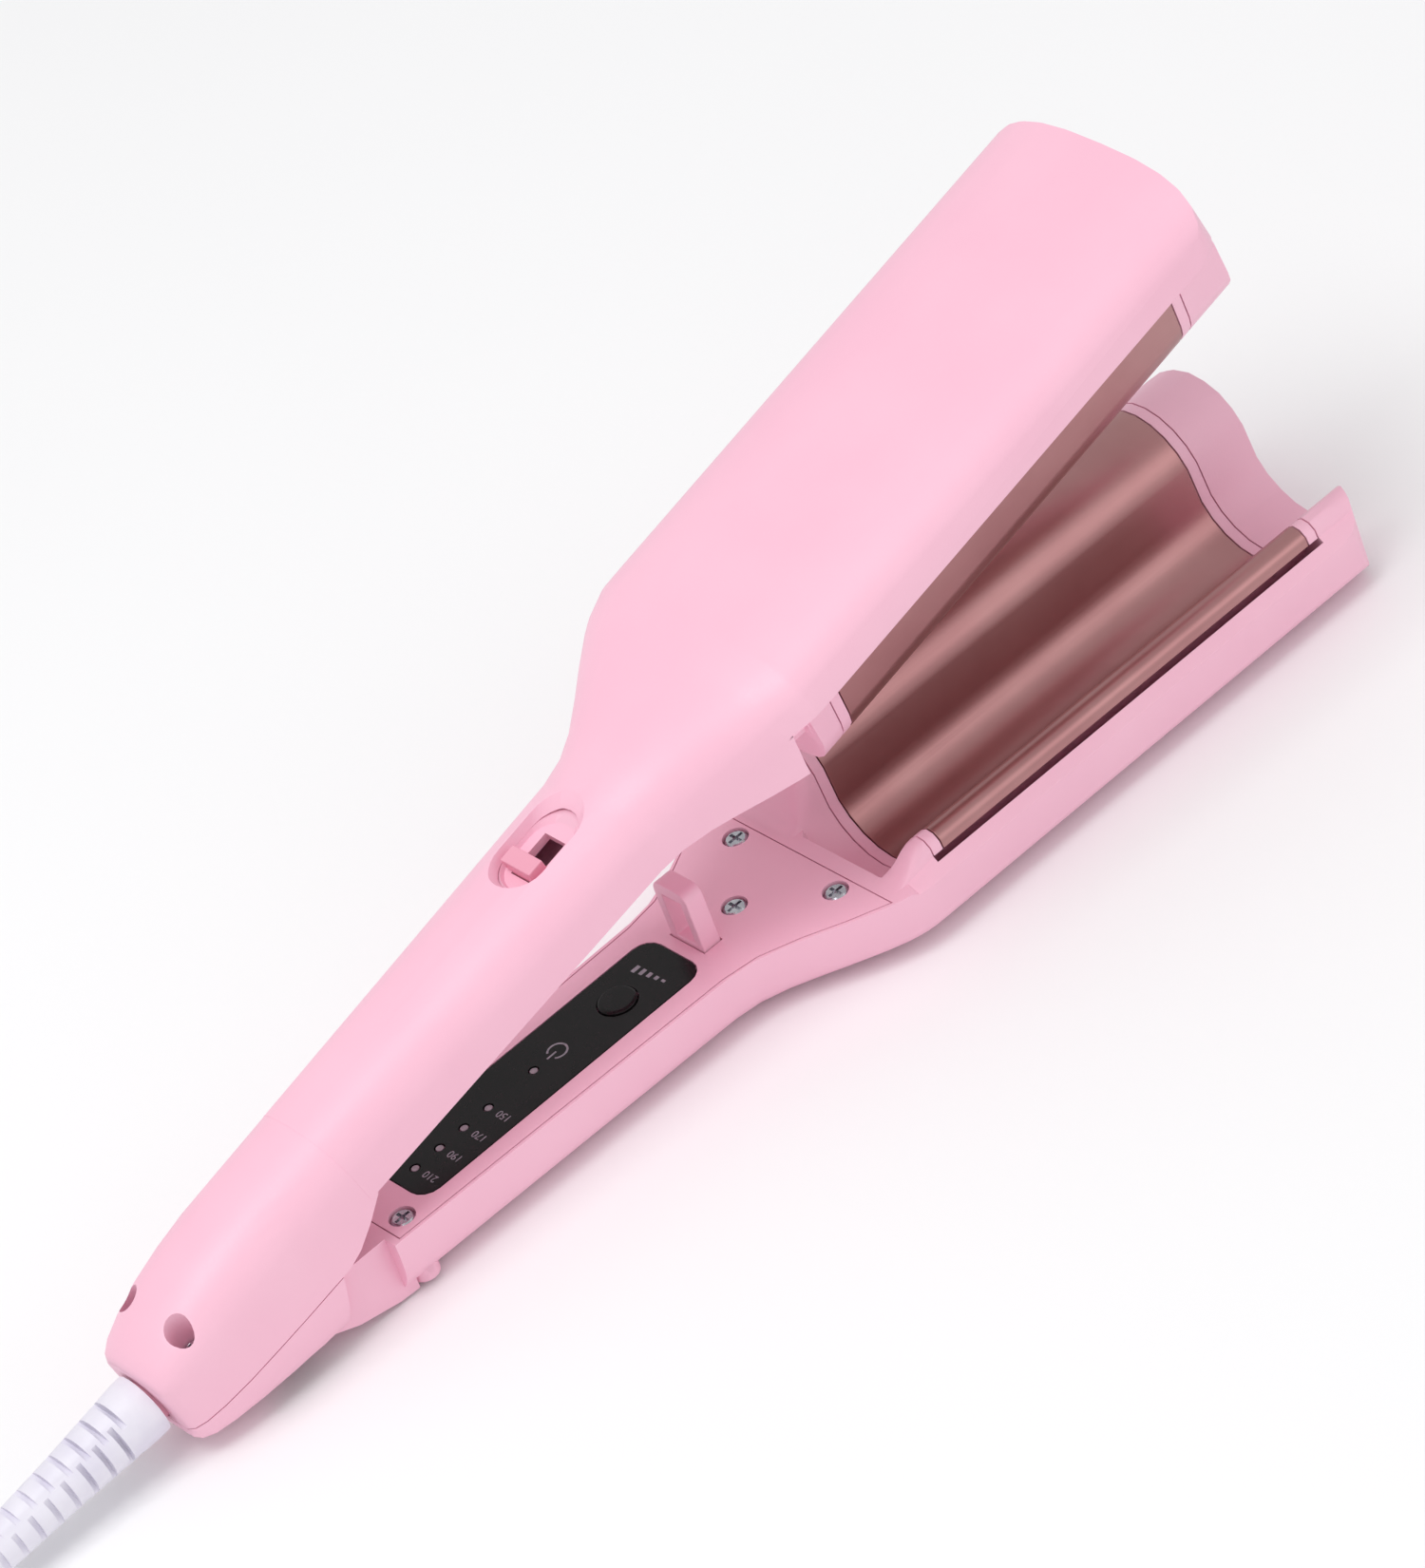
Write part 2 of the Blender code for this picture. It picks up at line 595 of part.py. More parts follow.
def make_controls(cover, arm, pink, dark, white, green, steel):
    """The black panel let into the lower cover, with its button and lamps on the circuit board beneath."""
    outline = rounded_outline(PANEL_X, PANEL_HALF, PANEL_R)
    panel = add_piece("control_panel", prism(outline, FACE_LOW - PANEL_T, FACE_LOW), arm, dark)
    spread = rounded_outline((PANEL_X[0] - FIT, PANEL_X[1] + FIT), PANEL_HALF + FIT, PANEL_R + FIT)
    seat = prism(spread, FACE_LOW - PANEL_T - FIT, FACE_LOW + 5 * MM)
    boolean(cover, add_piece("panel_seat", seat, arm))
    hole = rod((BUTTON_X, 0, FACE_LOW), BUTTON_R + FIT, 20 * MM, segments=32)
    hole = add_piece("button_hole", hole, arm)
    boolean(panel, hole)
    boolean(cover, hole)
    board_top = BOARD_Z + BOARD_T
    board = box((PANEL_X[0] + 3 * MM, -8 * MM, BOARD_Z), (PANEL_X[1] - 5 * MM, 8 * MM, board_top))
    add_piece("circuit_board", board, arm, green)
    switch_top = 11.5 * MM
    switch = box((BUTTON_X - 3 * MM, -3 * MM, board_top + FIT), (BUTTON_X + 3 * MM, 3 * MM, switch_top))
    add_piece("tact_switch", switch, arm, steel)
    make_button(arm, switch_top + BUTTON_TRAVEL + FIT, dark)
    lamps = [("power_led", POWER_LED_X)]
    lamps += [(f"temperature_led_{i + 1}", LED_X - i * LED_PITCH) for i in range(LED_COUNT)]
    for name, x in lamps:
        low, high = board_top + FIT, FACE_LOW - 0.1 * MM
        lamp = rod((x, 0, (low + high) / 2), LED_R, high - low, segments=12)
        add_piece(name, lamp, arm, white)
        hole = add_piece(name + "_hole", rod((x, 0, FACE_LOW), LED_R + FIT, 12 * MM, segments=12), arm)
        boolean(panel, hole)
        boolean(cover, hole)


def make_button(arm, foot, dark):
    """A round button. Its origin is on its own axis, along which it slides."""
    under = FACE_LOW - COVER - FIT
    profile = [
        (foot, 1.5 * MM), (under - 1 * MM, 1.5 * MM), (under - 1 * MM, BUTTON_R + 1.2 * MM),
        (under, BUTTON_R + 1.2 * MM), (under, BUTTON_R), (FACE_LOW + 0.3 * MM, BUTTON_R),
        (FACE_LOW + 0.8 * MM, BUTTON_R - 0.7 * MM),
    ]
    rings = [
        [(r * math.cos(math.tau * i / 28), r * math.sin(math.tau * i / 28), z) for i in range(28)]
        for z, r in profile
    ]
    button = add_piece("push_button", loft(rings), arm, dark)
    button.location = (BUTTON_X, 0, 0)


def make_latch(cover, shell, arm, upper_arm, upper_cover, pink, dark_pink):
    """The loop that stands on the lower arm, and the slider of the upper arm that hooks into it."""
    foot = FACE_LOW - COVER - FIT
    top = FACE_LOW + LOOP_HEIGHT
    half_t = LOOP_T / 2
    round_r = 2.5 * MM
    outline = [(-LOOP_HALF, foot - 1.5 * MM), (LOOP_HALF, foot - 1.5 * MM)]
    outline += arc((LOOP_HALF - round_r, top - round_r), round_r, 0, 90, 4)
    outline += arc((round_r - LOOP_HALF, top - round_r), round_r, 90, 180, 4)
    loop = loft([[(x, y, z) for y, z in outline] for x in (LOOP_X - half_t, LOOP_X + half_t)])
    loop = add_piece("latch_loop", loop, arm, pink)
    flange = box((LOOP_X - half_t - 1.5 * MM, -LOOP_HALF - 1.5 * MM, foot - 1.5 * MM),
                 (LOOP_X + half_t + 1.5 * MM, LOOP_HALF + 1.5 * MM, foot))
    boolean(loop, add_piece("loop_flange", flange, arm), "UNION")
    sill = FACE_LOW + 1 * MM
    half_w = LOOP_WINDOW[0] / 2
    window = box((LOOP_X - 9 * MM, -half_w, sill), (LOOP_X + 9 * MM, half_w, sill + LOOP_WINDOW[1]))
    boolean(loop, add_piece("loop_window", window, arm))
    slot = box((LOOP_X - half_t - FIT, -LOOP_HALF - FIT, foot - 5 * MM),
               (LOOP_X + half_t + FIT, LOOP_HALF + FIT, FACE_LOW + 5 * MM))
    boolean(cover, add_piece("loop_slot", slot, arm))
    entry = box((LOOP_X - half_t - 1.6 * MM, -LOOP_HALF - 0.8 * MM, 10 * MM),
                (LOOP_X + half_t + 2.8 * MM, LOOP_HALF + 0.8 * MM, 32 * MM))
    boolean(upper_cover, add_piece("loop_entry", entry, upper_arm))
    make_slider(shell, upper_arm, sill + LOOP_WINDOW[1], dark_pink)


def make_slider(shell, arm, window_top, finish):
    """The scoop in the upper arm's back and the slider in it. Its travel is towards the tip."""
    outer = FACE_LOW + CLOSED_GAP + HANDLE_DEPTH
    floor = outer - SCOOP_DEPTH
    pocket = box((SCOOP_TOP[0] - 3 * MM, -10.3 * MM, floor - 2 * MM),
                 (SCOOP_TOP[1] + 2 * MM, 10.3 * MM, outer - 3 * MM))
    boolean(shell, add_piece("slider_pocket", pocket, arm), "UNION")
    low = rounded_outline(SCOOP_FLOOR, SCOOP_HALF - 1.6 * MM, SCOOP_HALF - 1.7 * MM, 6)
    high = rounded_outline(SCOOP_TOP, SCOOP_HALF, SCOOP_HALF - 0.1 * MM, 6)
    scoop = loft([[(x, y, floor) for x, y in low], [(x, y, outer + 1 * MM) for x, y in high]])
    boolean(shell, add_piece("slider_scoop", scoop, arm))
    front, back = SLIDER_X + SLIDER_T / 2, SLIDER_X - SLIDER_T / 2
    stem_half = 2.9 * MM
    window = box((back - FIT, -stem_half - FIT, floor - 5 * MM),
                 (front + SLIDER_TRAVEL + FIT, stem_half + FIT, floor + 3 * MM))
    boolean(shell, add_piece("slider_window", window, arm))
    rail_top = window_top - 0.5 * MM
    rail_low = FACE_LOW + CLOSED_GAP + COVER + FIT
    tongue_tip = LOOP_X - LOOP_T / 2 - 1.2 * MM
    thumb = box((back, -SLIDER_HALF, floor + FIT), (front, SLIDER_HALF, floor + 3.4 * MM))
    slider = add_piece("lock_slider", thumb, arm, finish)
    stem = box((back, -stem_half, rail_low), (front, stem_half, floor + 1 * MM))
    boolean(slider, add_piece("slider_stem", stem, arm), "UNION")
    tongue = box((back, -2.3 * MM, rail_low), (tongue_tip, 2.3 * MM, rail_top))
    boolean(slider, add_piece("slider_tongue", tongue, arm), "UNION")


REAR_STATIONS = (
    # x, top, half-width, bottom of the rear cover, with the arms closed
    (-25.0, 28.5, 8.2, 11.2), (-24.0, 30.4, 9.8, 9.3), (-21.5, 32.4, 11.0, 7.8), (-17, 34.5, 12.0, 6.4),
    (-10, 36.9, 12.8, 4.4), (-2, 38.6, 13.2, 2.2), (6, 39.4, 13.5, 0.4), (14, 39.5, 13.6, -1.0),
)


def rear_top(x, top, half):
    """The rear body's upper outline at x, from left to right down to the parting plane."""
    power = 2.4
    centre = FACE_LOW + CLOSED_GAP + 3 * MM
    low = PART_Z + FIT / 2
    return [(half, low)] + superellipse(half, centre, top - centre, power, 13) + [(-half, low)]


def make_rear(shell, arm, pink, steel):
    """The rear of the upper arm and the cover under it, split on a plane through the hinge axis."""
    rings = []
    for x, top, half, _ in REAR_STATIONS:
        rings.append([(x * MM, y, z) for y, z in rear_top(x * MM, top * MM, half * MM)])
    for x, low in ((19, 0), (23, 1.2), (28, 4.2), (33, 8.0)):
        back = shell_curve(x * MM, 0.05 * MM, True)
        bottom = PART_Z + FIT / 2 + low * MM
        section = [(back[0][0], bottom)] + back + [(back[-1][0], bottom)]
        rings.append([(x * MM, y, z) for y, z in section])
    boolean(shell, add_piece("rear_top", loft(rings), arm), "UNION")
    rings = []
    for x, _, half, bottom in REAR_STATIONS[:-1] + ((13, 39.5, 13.6, -0.8),):
        top = PART_Z - FIT / 2
        depth = top - 2.5 * MM
        lower = superellipse(half * MM, depth, bottom * MM - depth, 2.6, 12)
        lean = max(0.0, x) / 13 * 0.42
        section = [(half * MM, top)] + lower + [(-half * MM, top)]
        rings.append([(x * MM + (z - 5 * MM) * lean, y, z) for y, z in section])
    cover = add_piece("rear_cover", loft(rings), arm, pink)
    hollow_rear(shell, cover, arm)
    for side, y in (("left", REAR_SCREW[1]), ("right", -REAR_SCREW[1])):
        name = "rear_screw_" + side
        place = (REAR_SCREW[0], y)
        seat = 26 * MM
        well = rod((*place, seat + 10 * MM), SCREW_HEAD_R + FIT, 20 * MM, segments=20)
        boolean(shell, add_piece(name + "_well", well, arm))
        hole = add_piece(name + "_hole", rod((*place, seat), SCREW_R + FIT, 36 * MM, segments=16), arm)
        boolean(shell, hole)
        bore = add_piece(name + "_bore", rod((*place, 14 * MM), SCREW_R + FIT, 8 * MM, segments=16), arm)
        boolean(cover, bore)
        long_screw(name, arm, place, seat + FIT, 14 * MM, steel)


def long_screw(name, arm, place, seat, length, finish):
    x, y = place
    profile = [
        (seat + 1.2 * MM, SCREW_HEAD_R - 0.5 * MM), (seat + 0.7 * MM, SCREW_HEAD_R), (seat, SCREW_HEAD_R),
        (seat, SCREW_R), (seat - length, SCREW_R), (seat - length - 1 * MM, 0.5 * MM),
    ]
    rings = [
        [(x + r * math.cos(math.tau * i / 12), y + r * math.sin(math.tau * i / 12), z) for i in range(12)]
        for z, r in profile
    ]
    add_piece(name, loft(rings), arm, finish)


def hollow_rear(shell, cover, arm):
    """The slot for the lower arm's neck, the pin's seats, the wiring room and the collar's seat."""
    half = NECK_HALF + 0.7 * MM
    slot = box((-9.5 * MM, -half, -20 * MM), (60 * MM, half, 22.6 * MM))
    upper_slot = add_piece("neck_slot_upper", slot, arm)
    boolean(shell, upper_slot)
    outline = [(-9.5, 5.5), (-4, 3.6), (-1, -20), (60, -20), (60, 20), (-9.5, 20)]
    under = loft([[(x * MM, y, z * MM) for x, z in outline] for y in (-half, half)])
    boolean(cover, add_piece("neck_slot_lower", under, arm))
    seat = rod((0, 0, HINGE_Z), PIN_R + FIT / 2, 2 * PIN_HALF + FIT, "Y", 24)
    pin_seat = add_piece("pin_seat", seat, arm)
    boolean(shell, pin_seat)
    boolean(cover, pin_seat)
    room = box((-14.5 * MM, -4.6 * MM, 17 * MM), (12 * MM, 4.6 * MM, 34 * MM))
    boolean(shell, add_piece("wiring_room", room, arm))
    passage = box((5 * MM, -6 * MM, 25 * MM), (40 * MM, 6 * MM, 34 * MM))
    boolean(shell, add_piece("wiring_passage", passage, arm))
    bore = add_piece("collar_bore", along_relief((-6 * MM, 14 * MM), [COLLAR_R + FIT] * 2), arm)
    groove = along_relief((4.7 * MM, 7.3 * MM), [COLLAR_FLANGE_R + FIT] * 2)
    groove = add_piece("collar_groove", groove, arm)
    for body in (shell, cover):
        boolean(body, bore)
        boolean(body, groove)


def along_relief(stations, radii, segments=20):
    """A turned body on the strain relief's axis. Stations run from its wide end into the rear body."""
    rings = []
    for along, radius in zip(stations, radii):
        ring = []
        for i in range(segments):
            angle = math.tau * i / segments
            ring.append(relief_point(along, radius * math.cos(angle), radius * math.sin(angle)))
        rings.append(ring)
    return loft(rings)


def relief_point(along, side, up):
    """A point given along the relief's axis (into the body), to the side, and up from the axis."""
    c, s = math.cos(RELIEF_TILT), math.sin(RELIEF_TILT)
    x, z = RELIEF_AT
    return (x + along * c + up * s, side, z - along * s + up * c)


def make_cord_exit(arm, white, dark):
    """The collar that turns in the rear body, and the ribbed strain relief on it."""
    stations = [0.3, 5, 5, 7, 7, 10]
    radii = [COLLAR_R, COLLAR_R, COLLAR_FLANGE_R, COLLAR_FLANGE_R, COLLAR_R - 0.6 * MM, COLLAR_R - 0.6 * MM]
    collar = along_relief([s * MM for s in stations], radii)
    collar = add_piece("cord_collar", collar, arm, dark)
    boolean(collar, add_piece("collar_wire_hole", along_relief((-5 * MM, 20 * MM), [2 * MM] * 2, 16), arm))
    relief = along_relief((0, -2.5 * MM, -22 * MM, -RELIEF_LENGTH), (
        RELIEF_R[0], RELIEF_R[0], (RELIEF_R[0] + RELIEF_R[1]) / 2 - 0.1 * MM, RELIEF_R[1]))
    relief = add_piece("strain_relief", relief, arm, white)
    for i in range(9):
        at = -(7 + 4.6 * i) * MM
        if -at > RELIEF_LENGTH - 3 * MM:
            break
        taper = RELIEF_R[0] + (RELIEF_R[1] - RELIEF_R[0]) * -at / RELIEF_LENGTH
        for turn, shift in ((0, 0), (90, 2.3 * MM)):
            for sign in (-1, 1):
                boolean(relief, relief_slit(arm, i, at - shift, turn, sign, taper))
    return collar, relief


def relief_slit(arm, number, at, turn, sign, radius):
    """One of the slits that let the relief bend: a box across it, on one side of the cord."""
    deep = radius - 3.9 * MM
    wide = radius * 1.25
    corners = []
    for along in (at, at - 1.3 * MM):
        ring = []
        for a, b in ((-wide, radius - deep), (wide, radius - deep), (wide, radius + 3 * MM), (-wide, radius + 3 * MM)):
            side, up = (a, b * sign) if turn == 0 else (b * sign, a)
            ring.append(relief_point(along, side, up))
        corners.append(ring)
    return add_piece(f"relief_slit_{number}_{turn}_{sign}", loft(corners), arm)


def make_hinge(arm, steel):
    add_piece("hinge_pin", rod((0, 0, HINGE_Z), PIN_R, 2 * PIN_HALF, "Y", 24), arm, steel)
    turns, points = 3, []
    gap = SPRING_WIRE * 1.12
    start = -HUB_HALF - 0.4 * MM - SPRING_WIRE / 2
    for i in range(turns * 10 + 1):
        angle = math.tau * i / 10
        points.append((
            SPRING_R * math.cos(angle), start - gap * i / 10, SPRING_R * math.sin(angle),
        ))
    tube("hinge_spring", points, SPRING_WIRE / 2, steel, arm, 2)


def tube(name, points, radius, finish, arm=None, resolution=2):
    """A round wire, cord or spring through points, in an arm's frame from its hinge or in the world's."""
    curve = bpy.data.curves.new(name, "CURVE")
    curve.dimensions = "3D"
    curve.bevel_depth = radius
    curve.bevel_resolution = resolution
    curve.use_fill_caps = True
    spline = curve.splines.new("POLY")
    spline.points.add(len(points) - 1)
    for target, point in zip(spline.points, points):
        target.co = (*point, 1)
    obj = bpy.data.objects.new(name, curve)
    obj.parent = arm
    curve.materials.append(finish)
    PARTS.objects.link(obj)
    return obj


def smooth_route(route, step):
    """Points about a step apart on a smooth curve through a route."""
    ends = [Vector(p) for p in route]
    ends = [2 * ends[0] - ends[1]] + ends + [2 * ends[-1] - ends[-2]]
    points = []
    for a, b, c, d in zip(ends, ends[1:], ends[2:], ends[3:]):
        count = max(1, round((c - b).length / step))
        for i in range(count):
            t = i / count
            points.append(0.5 * (2 * b + (c - a) * t + (2 * a - 5 * b + 4 * c - d) * t**2
                                 + (3 * b - a - 3 * c + d) * t**3))
    return points + [ends[-2]]


def wire(name, route, arm, finish):
    """A wire inside an arm, through route points in millimetres from the hinge axis and the table."""
    points = [(x * MM, y * MM, z * MM - HINGE_Z) for x, y, z in route]
    tube(name, smooth_route(points, 6 * MM), 1.0 * MM, finish, arm)


def make_upper_arm(arm, pink, rose, steel, brown, black):
    face = FACE_LOW + CLOSED_GAP
    shell = add_piece("upper_shell", arm_body(UPPER_TURN, True), arm, pink)
    make_rear(shell, arm, pink, steel)
    hollow_arm(shell, arm, True)
    cover = prism(face_outline(cover_range(True), RIM), face, face + COVER)
    cover = add_piece("upper_inner_cover", cover, arm, pink)
    for name, x in UPPER_SCREWS.items():
        screw_post(shell, arm, name, (x, 0), face + COVER + FIT, True)
        seat = counterbore(cover, arm, name, (x, 0), face, -1)
        screw(name, arm, (x, 0), seat, -1, steel)
    make_plate("upper", upper_wave, arm, pink, rose)
    x_range = (JAW_X + 8 * MM, JAW_X + PLATE_LENGTH - 8 * MM)
    heater = box((x_range[0], VALLEY_Y - 4.5 * MM, 12.3 * MM), (x_range[1], VALLEY_Y + 4.5 * MM, 15.3 * MM))
    add_piece("upper_heater", heater, arm, brown)
    clip = spring_clip(x_range, VALLEY_Y, 15.6 * MM, JAW_TOP - WALL - FIT)
    add_piece("upper_heater_clip", clip, arm, steel)
    block = box((-12 * MM, -4 * MM, 24 * MM), (2 * MM, 4 * MM, 30 * MM))
    add_piece("terminal_block", block, arm, black)
    return shell, cover


def make_cord(white, black, steel):
    tube("power_cord", smooth_route(LEAD, 2.3 * CORD_D), CORD_D / 2, white, None, 3)
    tube("cord_tail", smooth_route(TAIL, 2.0 * CORD_D), CORD_D / 2, white, None, 3)
    wide = 2 * CORD_D
    section = [(-wide, 0), (wide, 0), (wide, CORD_D), (CORD_D, 2.8 * CORD_D), (-CORD_D, 2.8 * CORD_D), (-wide, CORD_D)]
    add_ring("cord_coil", [(COIL_R + r, z) for r, z in section], white)
    make_tie(wide, black)
    length, width, thick = PLUG_SIZE
    x = PLUG_X + FIT
    outline = [
        (x, -4 * MM), (x + 8 * MM, -5 * MM), (x + 20 * MM, -width / 2), (x + length, -width / 2),
        (x + length, width / 2), (x + 20 * MM, width / 2), (x + 8 * MM, 5 * MM), (x, 4 * MM),
    ]
    outline = [(px, PLUG_Y + py) for px, py in outline]
    add_world("plug_body", prism(outline, 0, thick), white)
    radius, reach, apart = PLUG_PIN
    for side, sign in (("left", 1), ("right", -1)):
        middle = (x + length + FIT + reach / 2, PLUG_Y + sign * apart, thick / 2)
        add_world("plug_pin_" + side, rod(middle, radius, reach, "X", 16), steel)


def add_world(name, mesh_bm, finish):
    bmesh.ops.translate(mesh_bm, verts=mesh_bm.verts, vec=(0, 0, HINGE_Z))
    return add_piece(name, mesh_bm, None, finish)


def add_ring(name, section, finish, segments=36):
    """A turned ring about the coil's middle, from a section of (radius, z) points."""
    made = bmesh.new()
    rows = []
    for i in range(segments):
        angle = math.tau * i / segments
        c, s = math.cos(angle), math.sin(angle)
        rows.append([made.verts.new((COIL_AT[0] + r * c, COIL_AT[1] + r * s, z)) for r, z in section])
    for before, after in zip(rows, rows[1:] + rows[:1]):
        for i in range(len(section)):
            j = (i + 1) % len(section)
            made.faces.new((before[i], before[j], after[j], after[i]))
    add_world(name, made, finish)


def make_tie(wide, black):
    """A strap over the coil, open beneath."""
    inner, thick, half = wide + 3 * FIT, 1.2 * MM, 5 * MM
    top = 2.8 * CORD_D + FIT
    over, under = inner + thick, top + thick
    inside = [(-inner, 0), (-inner, top), (inner, top), (inner, 0)]
    outside = [(-over, 0), (-over, under), (over, under), (over, 0)]
    x, y = COIL_AT[0] - COIL_R, COIL_AT[1]
    rings = [
        [(x + a, y - half, z), (x + a, y + half, z), (x + b, y + half, w), (x + b, y - half, w)]
        for (a, z), (b, w) in zip(inside, outside)
    ]
    add_world("cord_tie", loft(rings), black)


def main():
    clear_scene()
    pink = material("pink_plastic", PINK, 0.45)
    dark_pink = material("slider_plastic", PINK_DARK, 0.5)
    rose = material("rose_gold_plate", ROSE, 0.3, 0.9)
    steel = material("bright_steel", STEEL, 0.3, 1.0)
    brown = material("brown_ceramic", BROWN, 0.6)
    black = material("black_panel", BLACK, 0.2)
    white = material("white_rubber", WHITE, 0.55)
    green = material("green_board", GREEN, 0.5)
    lower = arm_empty("lower_arm_hinge", 0)
    upper = arm_empty("upper_arm_hinge", OPEN_ANGLE)
    lower_cover = make_lower_arm(lower, pink, dark_pink, rose, steel, brown)
    make_controls(lower_cover, lower, pink, black, white, green, steel)
    shell, upper_cover = make_upper_arm(upper, pink, rose, steel, brown, black)
    make_latch(lower_cover, shell, lower, upper, upper_cover, pink, dark_pink)
    make_hinge(upper, steel)
    make_cord_exit(upper, white, dark_pink)
    wire("lower_wire", [(8, 7.3, 9.5), (15, 7.2, 9.4), (22, 5, 9.3), (29, 2.8, 9.2), (38, 2.4, 8.5),
                        (46, 4, 5.2), (100, 5, 4.6), (130, 7, 4.6),
                        (150, 9.5, 6.5), (160, 13, 7.5), (172, 17, 8.5), (180, 19, 14)], lower, white)
    wire("upper_wire", [(3.5, 0, 27.5), (20, 2, 29), (45, 7, 30), (90, 8, 29.5), (118, 9.2, 29.5), (128, 8.4, 30),
                        (134, -1, 30.5), (141, -7.2, 31),
                        (150, -8, 32), (168, -8, 31), (176, -8, 24)], upper, white)
    make_cord(white, black, steel)


main()
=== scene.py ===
"""Finishes and fine detail for a hair wave iron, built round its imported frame.

Lengths are in metres. The lower arm lies on its belly, the upper arm stands open on the hinge,
and the mains lead runs back to a coil behind the handle.
"""

import json
import logging
import math
from dataclasses import dataclass, field
from enum import Enum

import bpy
from mathutils import Matrix, Vector

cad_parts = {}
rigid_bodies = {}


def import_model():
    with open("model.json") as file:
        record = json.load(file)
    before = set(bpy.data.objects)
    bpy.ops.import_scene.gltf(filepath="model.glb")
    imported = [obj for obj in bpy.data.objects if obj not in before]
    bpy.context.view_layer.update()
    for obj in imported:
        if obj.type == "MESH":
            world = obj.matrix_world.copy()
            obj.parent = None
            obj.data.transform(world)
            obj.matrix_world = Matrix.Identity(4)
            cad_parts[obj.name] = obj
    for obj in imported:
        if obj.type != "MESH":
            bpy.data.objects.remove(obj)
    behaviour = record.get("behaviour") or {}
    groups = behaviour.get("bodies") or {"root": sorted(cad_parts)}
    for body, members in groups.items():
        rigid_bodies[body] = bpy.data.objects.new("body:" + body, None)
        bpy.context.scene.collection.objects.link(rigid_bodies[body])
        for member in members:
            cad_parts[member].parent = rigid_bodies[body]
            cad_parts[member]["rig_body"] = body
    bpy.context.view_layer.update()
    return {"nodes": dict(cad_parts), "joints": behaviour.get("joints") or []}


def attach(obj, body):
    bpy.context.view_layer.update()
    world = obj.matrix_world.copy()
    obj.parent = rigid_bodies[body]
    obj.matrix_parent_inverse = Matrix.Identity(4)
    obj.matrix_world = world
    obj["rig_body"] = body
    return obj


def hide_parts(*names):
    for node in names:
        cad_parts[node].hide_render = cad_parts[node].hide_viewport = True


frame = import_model()
MM = 0.001
MM_IN_METRE = 1000
LOG = logging.getLogger("wave_iron")

HINGE_X = frame["joints"][0]["pos_m"][0]
OPEN_ANGLE = math.radians(frame["joints"][0]["range_deg"][1])
UPPER_NORMAL = Vector((-math.sin(OPEN_ANGLE), 0, math.cos(OPEN_ANGLE)))

# How every finish is drawn
DRIFT_SPAN = (0.35, 0.65)  # values of the slow noise at which the first and the second colour are full
GRAIN_SPAN = (0.3, 0.7)  # values of the fine noise at which the surface is smoothest and roughest
DRIFT_DETAIL = 3.0
GRAIN_DETAIL = 4.0
BUMP_STRENGTH = 0.6
METAL_FROM = 0.5  # a finish this metallic keeps the shader's own IOR

# How every moulding is finished
WELD = 0.004 * MM  # points nearer than this are made one
FLAT = math.radians(0.4)  # faces that meet at less than this are joined
ROUNDING_STEPS = 3
ROUNDING_MARGIN = 6.0  # degrees past the smooth limit from which an edge is rounded
NORMAL_WEIGHT = 50


def linear(hex_colour: str) -> tuple[float, float, float, float]:
    """Turns an sRGB hex colour into linear light.

    Args:
        hex_colour: Six hex digits after a hash.

    Returns:
        Red, green, blue and alpha.
    """
    shares = [int(hex_colour[i:i + 2], 16) / 255 for i in (1, 3, 5)]
    return (*(s / 12.92 if s <= 0.04045 else ((s + 0.055) / 1.055) ** 2.4 for s in shares), 1.0)


def add_node(tree: bpy.types.NodeTree, kind: str, inputs: dict, **settings: object) -> bpy.types.Node:
    """Adds a shader node with its settings and links.

    Args:
        tree: The material's node tree.
        kind: The node's type, without its ShaderNode prefix.
        inputs: A socket to link or a value to set, for each input's name or number.
        settings: The node's own properties.

    Returns:
        The node.
    """
    node = tree.nodes.new("ShaderNode" + kind)
    for name, value in settings.items():
        setattr(node, name, value)
    for name, value in inputs.items():
        if isinstance(value, bpy.types.NodeSocket):
            tree.links.new(value, node.inputs[name])
        else:
            node.inputs[name].default_value = value
    return node


